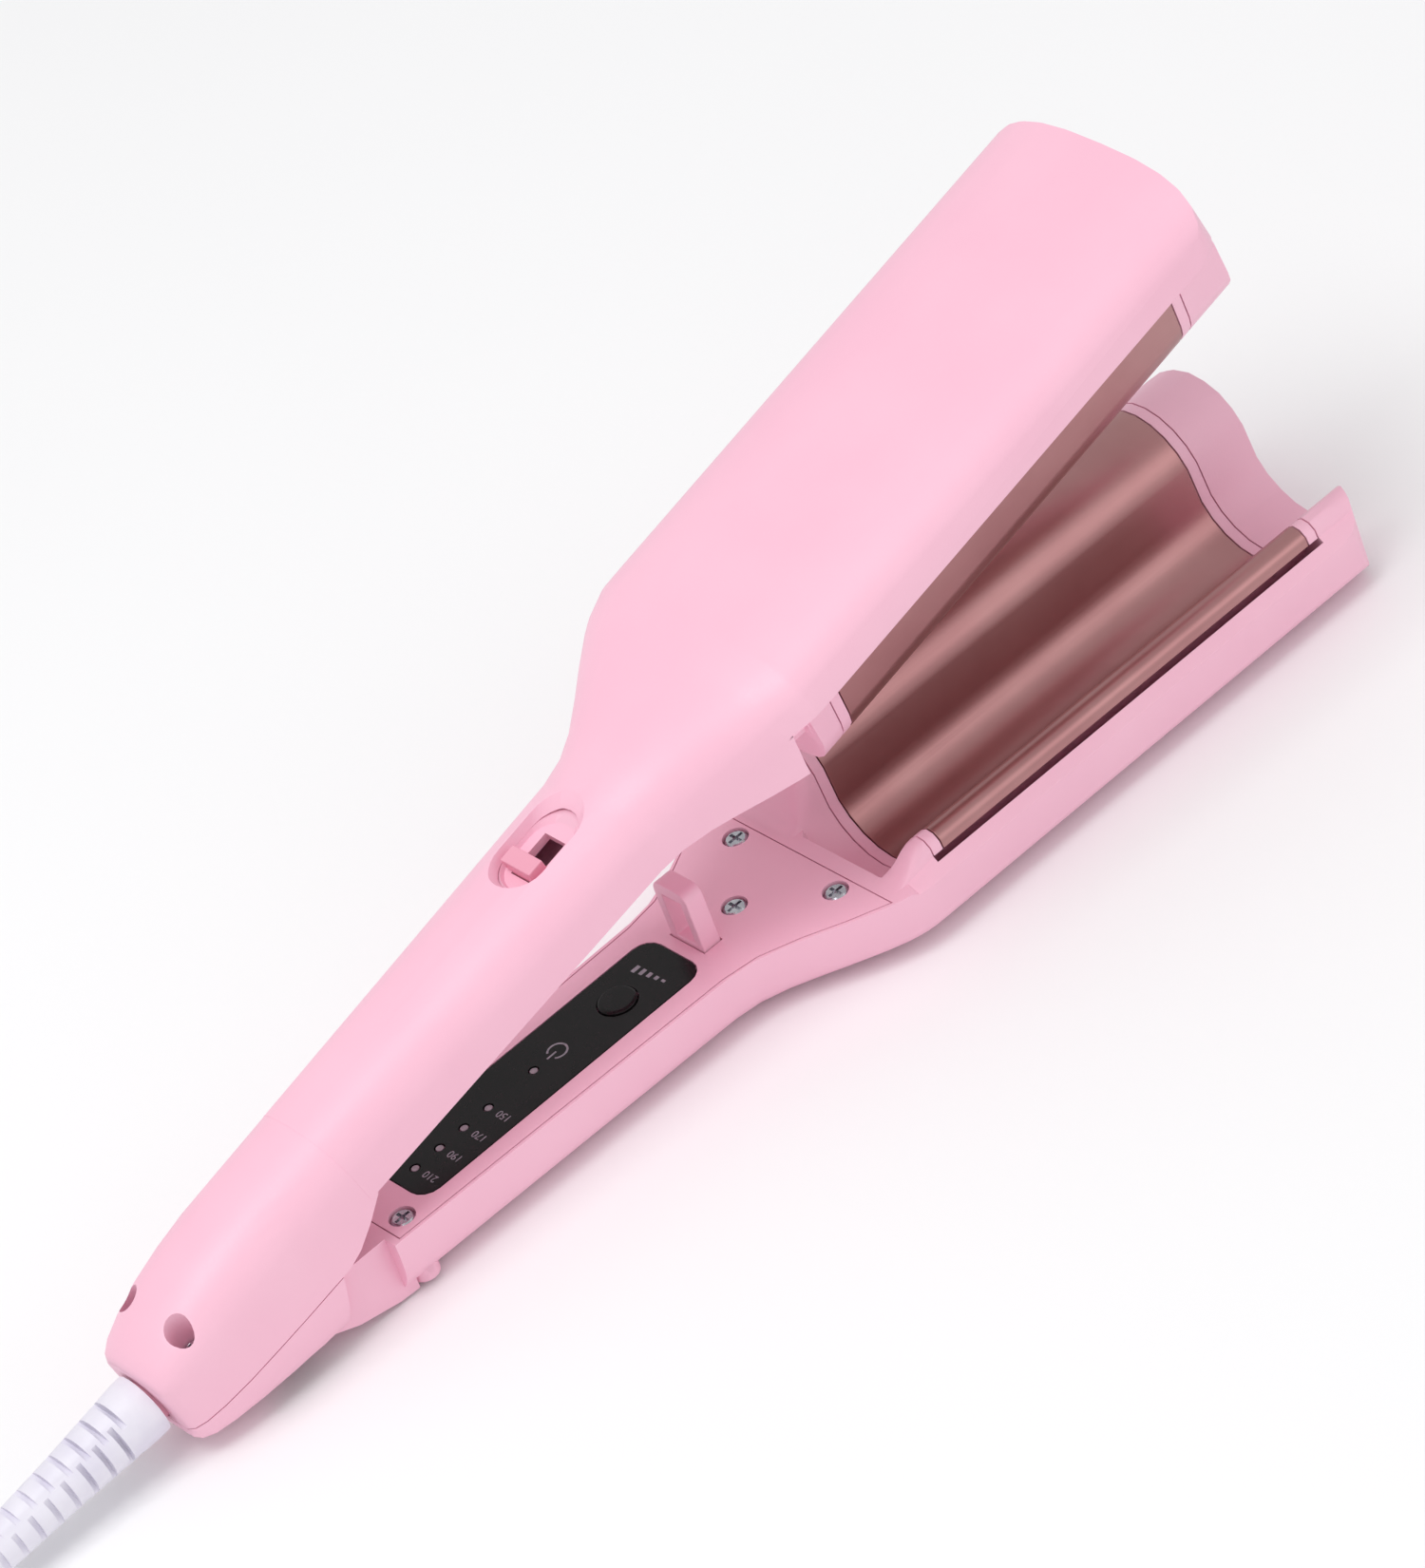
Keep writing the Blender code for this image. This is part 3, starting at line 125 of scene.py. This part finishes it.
@dataclass(frozen=True)
class Finish:
    """A surface whose colour drifts a little, over a fine grain that also roughens it.

    grain_mm is the grain's size along each axis, and drift_mm the size of a patch of colour.
    """

    name: str
    slot: str
    colour: str
    drift: str
    roughness: float
    rough_spread: float = 0.06
    metallic: float = 0.0
    drift_mm: float = 30.0
    grain_mm: tuple[float, float, float] = (0.5, 0.5, 0.5)
    grain_depth: float = 0.03
    ior: float = 1.5

    def make(self) -> bpy.types.Material:
        """Builds the material, once.

        Returns:
            The material, the same one each time that it is asked for.
        """
        found = bpy.data.materials.get(self.name)
        if found:
            return found
        made = bpy.data.materials.new(self.name)
        made.use_nodes = True
        tree = made.node_tree
        tree.nodes.clear()
        place = add_node(tree, "TexCoord", {}).outputs["Object"]
        slow = add_node(tree, "TexNoise", {
            "Vector": place, "Scale": MM_IN_METRE / self.drift_mm, "Detail": DRIFT_DETAIL})
        shades = add_node(tree, "ValToRGB", {"Fac": slow.outputs["Fac"]})
        for stop, at, shade in zip(shades.color_ramp.elements, DRIFT_SPAN, (self.colour, self.drift)):
            stop.position = at
            stop.color = linear(shade)
        sized = add_node(tree, "Mapping", {
            "Vector": place, "Scale": [MM_IN_METRE / size for size in self.grain_mm]})
        grain = add_node(tree, "TexNoise", {
            "Vector": sized.outputs["Vector"], "Scale": 1.0, "Detail": GRAIN_DETAIL})
        rough = add_node(tree, "MapRange", {
            "Value": grain.outputs["Fac"], "From Min": GRAIN_SPAN[0], "From Max": GRAIN_SPAN[1],
            "To Min": self.roughness - self.rough_spread, "To Max": self.roughness + self.rough_spread})
        bump = add_node(tree, "Bump", {
            "Height": grain.outputs["Fac"], "Strength": BUMP_STRENGTH, "Distance": self.grain_depth * MM})
        inputs = {
            "Base Color": shades.outputs["Color"], "Roughness": rough.outputs["Result"],
            "Normal": bump.outputs["Normal"], "Metallic": self.metallic}
        if self.metallic < METAL_FROM:
            inputs["IOR"] = self.ior
        shader = add_node(tree, "BsdfPrincipled", inputs)
        add_node(tree, "OutputMaterial", {"Surface": shader.outputs["BSDF"]})
        return made


# Injection-moulded ABS, spark-eroded to a satin: soft broad highlights over a fine even grain.
PINK_SHELL = Finish("pink_satin_abs", "pink_plastic", "#FAC3D7", "#F8BFD4", 0.44, grain_mm=(0.45,) * 3)
# The same ABS a shade deeper, for the pieces that a finger or the cord works against.
DEEP_PINK = Finish("deep_pink_satin_abs", "slider_plastic", "#F0A8BD", "#EDA1B7", 0.42,
                   grain_mm=(0.45,) * 3)
# Rose-gold ceramic coat over a drawn aluminium plate: long faint streaks along the drawing direction.
ROSE_COAT = Finish("rose_gold_coated_aluminium", "rose_gold_plate", "#B88888", "#B28081", 0.33, 0.03, 0.92,
                   20.0, (30.0, 0.35, 0.35), 0.004)
# Zinc-plated cold-headed steel: bright, with short turning marks.
ZINC_STEEL = Finish("zinc_plated_steel", "bright_steel", "#C9C9CE", "#B4B4BC", 0.24, 0.08, 1.0,
                    2.0, (0.3, 0.3, 0.9), 0.01)
# Back-printed acrylic: a deep black gloss with the lightest haze of handling.
ACRYLIC = Finish("black_gloss_acrylic", "black_panel", "#0F0B0D", "#151113", 0.24, 0.05, 0.0,
                 9.0, (2.0, 2.0, 2.0), 0.002, 1.3)
# Soft white PVC of a cord's sheath and strain relief: a dull sheen, a little lavender in its shade.
WHITE_PVC = Finish("white_soft_pvc", "white_rubber", "#EBE8F2", "#E2DEEC", 0.42, 0.08, 0.0,
                   8.0, (0.6, 0.6, 0.6), 0.03)
# Diffusing epoxy of an unlit lamp.
LAMP_EPOXY = Finish("milky_lamp_epoxy", "white_rubber", "#A59AA3", "#8F848D", 0.3, 0.05, 0.0,
                    1.0, (0.3,) * 3)
# Pad-printed grey ink, a little uneven.
PRINT_INK = Finish("grey_printing_ink", "white_rubber", "#A39EA8", "#8F8A94", 0.6, 0.05, 0.0,
                   0.8, (0.2,) * 3)
# Fired ceramic heater body and glass-fibre board, seen only where the casing is taken off.
HEATER_CERAMIC = Finish("fired_brown_ceramic", "brown_ceramic", "#7A5A40", "#6B4C35", 0.7, 0.1, 0.0, 4.0)
BOARD_LAMINATE = Finish("green_glass_fibre_laminate", "green_board", "#1C6B48", "#195F40", 0.4, 0.05, 0.0,
                        5.0, (0.5, 0.5, 0.5), 0.04)
# Matt white paper of the sweep that the iron lies on.
WHITE_PAPER = Finish("white_paper_sweep", "white_rubber", "#FAFAFB", "#F8F8F9", 0.9, 0.05, 0.0,
                     400.0, (3.0,) * 3)


def select_only(piece: bpy.types.Object) -> None:
    """Makes one object the only selected and the active one."""
    bpy.ops.object.select_all(action="DESELECT")
    piece.select_set(True)
    bpy.context.view_layer.objects.active = piece


def apply_modifier(piece: bpy.types.Object, kind: str, **settings: object) -> None:
    """Adds a modifier to a piece and applies it.

    Args:
        piece: The piece to change.
        kind: The modifier's type.
        settings: The modifier's own properties.
    """
    modifier = piece.modifiers.new(kind.lower(), kind)
    for name, value in settings.items():
        setattr(modifier, name, value)
    select_only(piece)
    bpy.ops.object.modifier_apply(modifier=modifier.name)


def dress(piece: bpy.types.Object, finish: Finish) -> None:
    """Gives a piece one finish all over.

    Args:
        piece: The piece to dress.
        finish: Its finish.
    """
    piece.data.materials.clear()
    piece.data.materials.append(finish.make())


def body_of(node: str) -> str:
    """The name of the body that a node belongs to."""
    return frame["nodes"][node]["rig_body"]


def ease(share: float, start: float, end: float) -> float:
    """Rises smoothly from 0 at start to 1 at end.

    Args:
        share: Where to read it.
        start: Where it leaves 0.
        end: Where it reaches 1.

    Returns:
        A share from 0 to 1.
    """
    t = min(1.0, max(0.0, (share - start) / (end - start)))
    return t * t * (3 - 2 * t)


def through(route: list[Vector], steps: int = 5) -> list[Vector]:
    """Points on one smooth curve through a route's own points.

    Args:
        route: The points to pass through.
        steps: How many points each stretch gets.

    Returns:
        The curve's points, both ends included.
    """
    ends = [2 * route[0] - route[1]] + route + [2 * route[-1] - route[-2]]
    points = []
    for a, b, c, d in zip(ends, ends[1:], ends[2:], ends[3:]):
        for i in range(steps):
            t = i / steps
            points.append(0.5 * (2 * b + (c - a) * t + (2 * a - 5 * b + 4 * c - d) * t**2
                                 + (3 * b - a - 3 * c + d) * t**3))
    return points + [route[-1]]


class Edge(Enum):
    """How far a moulding's or a pressing's outer edges are rounded, in millimetres."""

    PRESSED = 0.12
    MOULDED = 0.3
    SOFT = 0.6


@dataclass
class Moulding:
    """A visible piece made from its node's own shape, its edges rounded and its curves shaded smooth."""

    node: str
    finish: Finish
    edge: Edge = Edge.MOULDED
    smooth: float = 34.0

    def build(self) -> bpy.types.Object:
        """Copies the node's mesh, welds it, rounds its edges and stands it in for the node.

        Returns:
            The finished piece.
        """
        piece = bpy.data.objects.new(self.node + "_piece", frame["nodes"][self.node].data.copy())
        bpy.context.scene.collection.objects.link(piece)
        select_only(piece)
        bpy.ops.object.mode_set(mode="EDIT")
        bpy.ops.mesh.select_all(action="SELECT")
        bpy.ops.mesh.remove_doubles(threshold=WELD)
        bpy.ops.mesh.dissolve_limited(angle_limit=FLAT)
        bpy.ops.object.mode_set(mode="OBJECT")
        self.detail(piece)
        apply_modifier(piece, "BEVEL", width=self.edge.value * MM, segments=ROUNDING_STEPS,
                       limit_method="ANGLE", angle_limit=math.radians(self.smooth + ROUNDING_MARGIN),
                       use_clamp_overlap=True)
        select_only(piece)
        bpy.ops.object.shade_smooth_by_angle(angle=math.radians(self.smooth))
        apply_modifier(piece, "WEIGHTED_NORMAL", keep_sharp=True, weight=NORMAL_WEIGHT)
        dress(piece, self.finish)
        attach(piece, body_of(self.node))
        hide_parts(self.node)
        LOG.info("%s rides on %s", piece.name, body_of(self.node))
        return piece

    def detail(self, piece: bpy.types.Object) -> None:
        """Cuts what the plain node leaves out. A plain moulding has nothing to add."""


@dataclass
class CrossScrew(Moulding):
    """A screw with a cross recess in its head.

    The head's face is taken from the points within face_depth of the end that axis points to.
    """

    edge: Edge = Edge.PRESSED
    axis: Vector = field(default_factory=lambda: Vector((0, 0, 1)))
    span: float = 3.4 * MM
    blade: float = 0.75 * MM
    deep: float = 0.9 * MM
    face_depth: float = 0.05 * MM

    def detail(self, piece: bpy.types.Object) -> None:
        """Cuts the cross into the end of the head.

        Args:
            piece: The screw's welded mesh.
        """
        along = [v.co.dot(self.axis) for v in piece.data.vertices]
        top = [v.co for v, a in zip(piece.data.vertices, along) if a > max(along) - self.face_depth]
        middle = sum(top, Vector()) / len(top)
        turn = self.axis.to_track_quat("Z", "Y").to_euler()
        for size in ((self.span, self.blade), (self.blade, self.span)):
            bpy.ops.object.select_all(action="DESELECT")
            bpy.ops.mesh.primitive_cube_add(size=1, location=middle, rotation=turn)
            cutter = bpy.context.object
            cutter.scale = (*size, 2 * self.deep)
            bpy.ops.object.transform_apply(location=True, rotation=True, scale=True)
            apply_modifier(piece, "BOOLEAN", operation="DIFFERENCE", object=cutter, solver="EXACT")
            bpy.data.objects.remove(cutter)


@dataclass
class Casing:
    """The shells, covers and latch that a hand meets."""

    pink: tuple[str, ...] = ("upper_shell", "lower_shell", "rear_cover",
                             "upper_inner_cover", "lower_inner_cover", "latch_loop")
    deep: tuple[str, ...] = ("lock_slider", "cord_collar")

    def build(self) -> None:
        """Builds each moulded piece of the casing."""
        for node in self.pink:
            Moulding(node, PINK_SHELL).build()
        for node in self.deep:
            Moulding(node, DEEP_PINK).build()


@dataclass
class Plates:
    """The two waved heating plates and the carriers that hold their ends."""

    arms: tuple[str, ...] = ("lower", "upper")

    def build(self) -> None:
        """Builds both plates and both carriers."""
        for arm in self.arms:
            Moulding(arm + "_heating_plate", ROSE_COAT, Edge.PRESSED, 40).build()
            Moulding(arm + "_plate_carrier", PINK_SHELL, Edge.PRESSED, 40).build()


@dataclass
class Screws:
    """The cross-headed screws of the covers and of the rear body."""

    lower: tuple[str, ...] = ("cover_screw_front_left", "cover_screw_front_right", "cover_screw_middle",
                              "cover_screw_rear_left", "cover_screw_rear_right")
    rear: tuple[str, ...] = ("rear_screw_left", "rear_screw_right")
    upper: tuple[str, ...] = ("upper_cover_screw_front", "upper_cover_screw_rear")

    def build(self) -> None:
        """Builds every screw with its recess facing out of its well."""
        for names, axis in ((self.lower, Vector((0, 0, 1))), (self.rear, UPPER_NORMAL),
                            (self.upper, -UPPER_NORMAL)):
            for node in names:
                CrossScrew(node, ZINC_STEEL, axis=axis).build()


@dataclass
class ControlPanel:
    """The black panel with its button, its lamps and the marks printed beside them.

    Places are distances from the hinge axis along the arm. bar_offset and bar_reach are shares of the
    standby sign's radius, and ring_gap is in degrees.
    """

    face: float = 16.5 * MM
    print_depth: float = 0.05 * MM
    lamps: tuple[float, ...] = (65.7 * MM, 59.1 * MM, 52.5 * MM, 45.9 * MM)
    degrees: tuple[int, ...] = (150, 170, 190, 210)
    figures: float = 2.6 * MM
    figures_side: float = -6.9 * MM
    power_x: float = 84.5 * MM
    power_radius: float = 2.1 * MM
    ring_wire: float = 0.24 * MM
    ring_gap: float = 70
    ring_steps: int = 36
    ring_flatness: float = 0.2
    bar_offset: float = 0.75
    bar_reach: float = 1.2
    bar_width: float = 0.45 * MM
    corner: float = 0.12 * MM
    scale_x: float = 110.5 * MM
    scale_pitch: float = 2.0 * MM
    scale_bars: int = 5
    scale_width: float = 1.0 * MM
    scale_shortest: float = 0.7 * MM
    scale_growth: float = 0.35 * MM

    def build(self) -> None:
        """Builds the panel, its button and lamps, and joins the printed marks into one piece."""
        Moulding("control_panel", ACRYLIC, Edge.PRESSED).build()
        Moulding("push_button", ACRYLIC, Edge.MOULDED).build()
        for node in [name for name in frame["nodes"] if "_led" in name]:
            Moulding(node, LAMP_EPOXY, Edge.PRESSED).build()
        marks = [self.figure(x, number) for x, number in zip(self.lamps, self.degrees)]
        marks += [self.power_ring(), self.power_bar()]
        marks += [self.bar(i) for i in range(self.scale_bars)]
        self.join(marks)

    def figure(self, x: float, number: int) -> bpy.types.Object:
        """Sets one temperature beside its lamp, reading across the panel.

        Args:
            x: The lamp's place.
            number: The temperature.

        Returns:
            The figures as a mesh.
        """
        bpy.ops.object.select_all(action="DESELECT")
        bpy.ops.object.text_add(location=(HINGE_X + x + self.figures / 3, self.figures_side, self.face),
                                rotation=(0, 0, math.radians(90)))
        text = bpy.context.object
        text.data.body = str(number)
        text.data.size = self.figures
        text.data.extrude = self.print_depth
        bpy.ops.object.convert(target="MESH")
        return text

    def power_ring(self) -> bpy.types.Object:
        """Draws the open ring of a standby sign, its gap towards the hinge.

        Returns:
            The ring as a mesh.
        """
        curve = bpy.data.curves.new("standby_ring", "CURVE")
        curve.dimensions = "3D"
        curve.bevel_depth, curve.bevel_resolution = self.ring_wire, 2
        curve.use_fill_caps = True
        spline = curve.splines.new("POLY")
        spline.points.add(self.ring_steps)
        drawn = 360 - self.ring_gap
        for i, point in enumerate(spline.points):
            angle = math.radians(-drawn / 2 + drawn * i / self.ring_steps)
            point.co = (self.power_radius * math.cos(angle), self.power_radius * math.sin(angle), 0, 1)
        ring = bpy.data.objects.new("standby_ring", curve)
        bpy.context.scene.collection.objects.link(ring)
        ring.location = (HINGE_X + self.power_x, 0, self.face)
        ring.scale = (1, 1, self.ring_flatness)
        select_only(ring)
        bpy.ops.object.convert(target="MESH")
        return bpy.context.object

    def block(self, x: float, y: float, size: tuple[float, float]) -> bpy.types.Object:
        """Draws a printed stroke with its corners rounded.

        Args:
            x: Its middle along the arm.
            y: Its middle across the arm.
            size: Its length along the arm and across it.

        Returns:
            The stroke.
        """
        bpy.ops.object.select_all(action="DESELECT")
        bpy.ops.mesh.primitive_cube_add(size=1, location=(HINGE_X + x, y, self.face))
        stroke = bpy.context.object
        stroke.scale = (*size, 2 * self.print_depth)
        bpy.ops.object.transform_apply(location=False, rotation=False, scale=True)
        apply_modifier(stroke, "BEVEL", width=self.corner, segments=2, affect="EDGES")
        return stroke

    def power_bar(self) -> bpy.types.Object:
        """Draws the bar in the standby sign's gap."""
        size = (self.power_radius * self.bar_reach, self.bar_width)
        return self.block(self.power_x - self.power_radius * self.bar_offset, 0, size)

    def bar(self, number: int) -> bpy.types.Object:
        """Draws one bar of the heat scale above the button, each longer than the last."""
        size = (self.scale_shortest + self.scale_growth * number, self.scale_width)
        side = self.scale_pitch * (number - (self.scale_bars - 1) / 2)
        return self.block(self.scale_x - size[0] / 2, side, size)

    def join(self, marks: list[bpy.types.Object]) -> None:
        """Joins the marks into one printed layer on the panel.

        Args:
            marks: Every printed mark, as meshes.
        """
        bpy.ops.object.select_all(action="DESELECT")
        for mark in marks:
            mark.select_set(True)
        bpy.context.view_layer.objects.active = marks[-1]
        bpy.ops.object.join()
        layer = bpy.context.object
        layer.name = "panel_print"
        bpy.ops.object.transform_apply(location=True, rotation=True, scale=True)
        dress(layer, PRINT_INK)
        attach(layer, "lower_arm")
        LOG.info("%s rides on lower_arm", layer.name)


@dataclass
class MainsLead:
    """The strain relief and the free lead: a short run, seven and a half turns of a coil, and the plug.

    Each of laps holds a turn's offset from coil_radius, in diameters, and its layer. A turn steps
    sideways and up over the shares of it that the three spans give.
    """

    diameter: float = 6.2 * MM
    coil_radius: float = 34 * MM
    coil_at: tuple[float, float] = (-0.2735, 0.0173)
    lead: tuple[tuple[float, float, float], ...] = (
        (-0.1828, 0, 0.0079), (-0.1890, 0, 0.0070), (-0.2000, -0.0019, 0.0053), (-0.2110, -0.0067, 0.0040),
        (-0.2220, -0.0130, 0.0034), (-0.2330, -0.0193, 0.0033), (-0.2445, -0.0242, 0.0033),
        (-0.2590, -0.0260, 0.0032), (-0.2735, -0.0260, 0.0031))
    tail: tuple[tuple[float, float, float], ...] = (
        (-0.2550, 0.0544, 0.0136), (-0.2385, 0.0540, 0.0112), (-0.2310, 0.0532, 0.0088),
        (-0.2230, 0.0524, 0.0073), (-0.2175, 0.0520, 0.0069))
    laps: tuple[tuple[float, int], ...] = (
        (1.5, 0), (0.5, 0), (-0.5, 0), (-1.5, 0), (-1, 1), (0, 1), (1, 1), (0.5, 2))
    lap_points: int = 40
    layer_rise: float = 0.866
    sideways_climbing: tuple[float, float] = (0.6, 0.8)
    sideways_level: tuple[float, float] = (0.8, 1.0)
    upwards: tuple[float, float] = (0.55, 0.75)
    roundness: int = 4

    def lap_middle(self, number: int) -> tuple[float, float]:
        """Works out where a lap runs, the layers nested a little into each other.

        Args:
            number: The lap, from 0.

        Returns:
            The radius and the height of the cord's middle.
        """
        offset, layer = self.laps[number]
        return self.coil_radius + offset * self.diameter, self.diameter * (0.5 + self.layer_rise * layer)

    def coil(self) -> list[Vector]:
        """Works out the coil's turns.

        Returns:
            Points from where the lead meets the coil to where the tail leaves it.
        """
        points = []
        last = len(self.laps) - 1
        for number in range(last + 1):
            steps = self.lap_points if number < last else self.lap_points // 2
            radius, height = self.lap_middle(number)
            after = self.lap_middle(min(number + 1, last))
            climbs = after[1] > height
            for i in range(steps):
                share = i / self.lap_points
                step_in = ease(share, *(self.sideways_climbing if climbs else self.sideways_level))
                step_up = ease(share, *self.upwards) if climbs else 0.0
                angle = -math.tau * (0.25 + share)
                at = radius + (after[0] - radius) * step_in
                points.append(Vector((self.coil_at[0] + at * math.cos(angle),
                                      self.coil_at[1] + at * math.sin(angle),
                                      height + (after[1] - height) * step_up)))
        radius, height = self.lap_middle(last)
        return points + [Vector((self.coil_at[0], self.coil_at[1] + radius, height))]

    def centreline(self) -> list[Vector]:
        """Works out the whole route.

        Returns:
            Points from the strain relief to the plug.
        """
        turns = self.coil()
        run_in = through([Vector(p) for p in self.lead])
        run_out = through([turns[-2], turns[-1]] + [Vector(p) for p in self.tail])
        return run_in[:-1] + turns[:-2] + run_out

    def build(self) -> None:
        """Builds the lead on its route, with the plug and the tie."""
        Moulding("strain_relief", WHITE_PVC, Edge.MOULDED).build()
        on_cord = [
            Moulding("plug_body", WHITE_PVC, Edge.SOFT).build(),
            Moulding("plug_pin_left", ZINC_STEEL, Edge.MOULDED).build(),
            Moulding("plug_pin_right", ZINC_STEEL, Edge.MOULDED).build(),
            Moulding("cord_tie", ACRYLIC, Edge.PRESSED).build(),
        ]
        points = self.centreline()
        curve = bpy.data.curves.new("mains_lead", "CURVE")
        curve.dimensions = "3D"
        curve.bevel_depth, curve.bevel_resolution = self.diameter / 2, self.roundness
        curve.use_fill_caps = True
        spline = curve.splines.new("POLY")
        spline.points.add(len(points) - 1)
        for target, point in zip(spline.points, points):
            target.co = (*point, 1)
        spline.use_smooth = True
        cord = bpy.data.objects.new("mains_lead", curve)
        bpy.context.scene.collection.objects.link(cord)
        dress(cord, WHITE_PVC)
        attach(cord, "upper_arm")
        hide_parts("power_cord", "cord_tail", "cord_coil")


@dataclass
class Insides:
    """The nodes inside the casing, whose own shapes stay."""

    finishes: tuple[tuple[str, Finish], ...] = (
        ("heater_clip", ZINC_STEEL), ("heater", HEATER_CERAMIC), ("board", BOARD_LAMINATE),
        ("switch", ZINC_STEEL), ("fuse", ZINC_STEEL), ("thermistor", DEEP_PINK), ("block", ACRYLIC),
        ("wire", WHITE_PVC), ("hinge", ZINC_STEEL))

    def build(self) -> None:
        """Dresses every node that is still shown as itself."""
        for name, node in frame["nodes"].items():
            if node.hide_render:
                continue
            finish = next((f for word, f in self.finishes if word in name), PINK_SHELL)
            dress(node, finish)
            LOG.info("%s keeps its shape, in %s", name, finish.name)


@dataclass
class Studio:
    """A pale floor, soft light all round, a large soft light above, and the camera."""

    eye: tuple[float, float, float] = (-0.63441, -1.26267, 1.14407)
    right: tuple[float, float, float] = (0.72042, -0.63114, -0.28749)
    up: tuple[float, float, float] = (0.58629, 0.33280, 0.73859)
    back: tuple[float, float, float] = (-0.37047, -0.70065, 0.60979)
    lens: float = 208.13
    sensor: float = 36
    floor: float = 6.0
    floor_gap: float = 0.1 * MM
    light_side: float = 0.9
    key: tuple[float, float, float] = (-0.55, -0.1, 1.5)
    key_watts: float = 10.5
    fill: tuple[float, float, float] = (0.9, -1.2, 0.7)
    fill_watts: float = 2.0
    all_round: float = 0.68

    def camera(self) -> None:
        """Makes the camera, and sets the scene to look through it."""
        lens = bpy.data.cameras.new("camera")
        lens.lens, lens.sensor_width = self.lens, self.sensor
        camera = bpy.data.objects.new("camera", lens)
        bpy.context.scene.collection.objects.link(camera)
        turn = Matrix((self.right, self.up, self.back)).transposed()
        camera.matrix_world = Matrix.Translation(self.eye) @ turn.to_4x4()
        bpy.context.scene.camera = camera

    def light(self, name: str, place: tuple[float, float, float], watts: float) -> None:
        """Hangs a square soft light that faces the object.

        Args:
            name: The light's name.
            place: Where it hangs.
            watts: Its power.
        """
        data = bpy.data.lights.new(name, "AREA")
        data.energy, data.size = watts, self.light_side
        lamp = bpy.data.objects.new(name, data)
        bpy.context.scene.collection.objects.link(lamp)
        lamp.location = place
        lamp.rotation_euler = (-Vector(place)).to_track_quat("-Z", "Y").to_euler()

    def build(self) -> None:
        """Lays the floor and sets the lights."""
        bpy.ops.object.select_all(action="DESELECT")
        bpy.ops.mesh.primitive_plane_add(size=self.floor, location=(0, 0, -self.floor_gap))
        floor = bpy.context.object
        floor.name = "floor"
        floor.data.materials.append(WHITE_PAPER.make())
        self.light("key", self.key, self.key_watts)
        self.light("fill", self.fill, self.fill_watts)
        world = bpy.data.worlds.new("studio")
        world.use_nodes = True
        world.node_tree.nodes["Background"].inputs["Color"].default_value = (1, 1, 1, 1)
        world.node_tree.nodes["Background"].inputs["Strength"].default_value = self.all_round
        bpy.context.scene.world = world
        bpy.context.scene.view_settings.view_transform = "Standard"


def main() -> None:
    """Builds the iron in order: camera and lead first, then the casing and what it carries."""
    logging.basicConfig(level=logging.INFO, format="%(message)s")
    studio = Studio()
    studio.camera()
    for assembly in (MainsLead(), Casing(), Plates(), Screws(), ControlPanel(), Insides()):
        assembly.build()
        LOG.info("%s is built", type(assembly).__name__)
    studio.build()


if __name__ == "__main__":
    main()
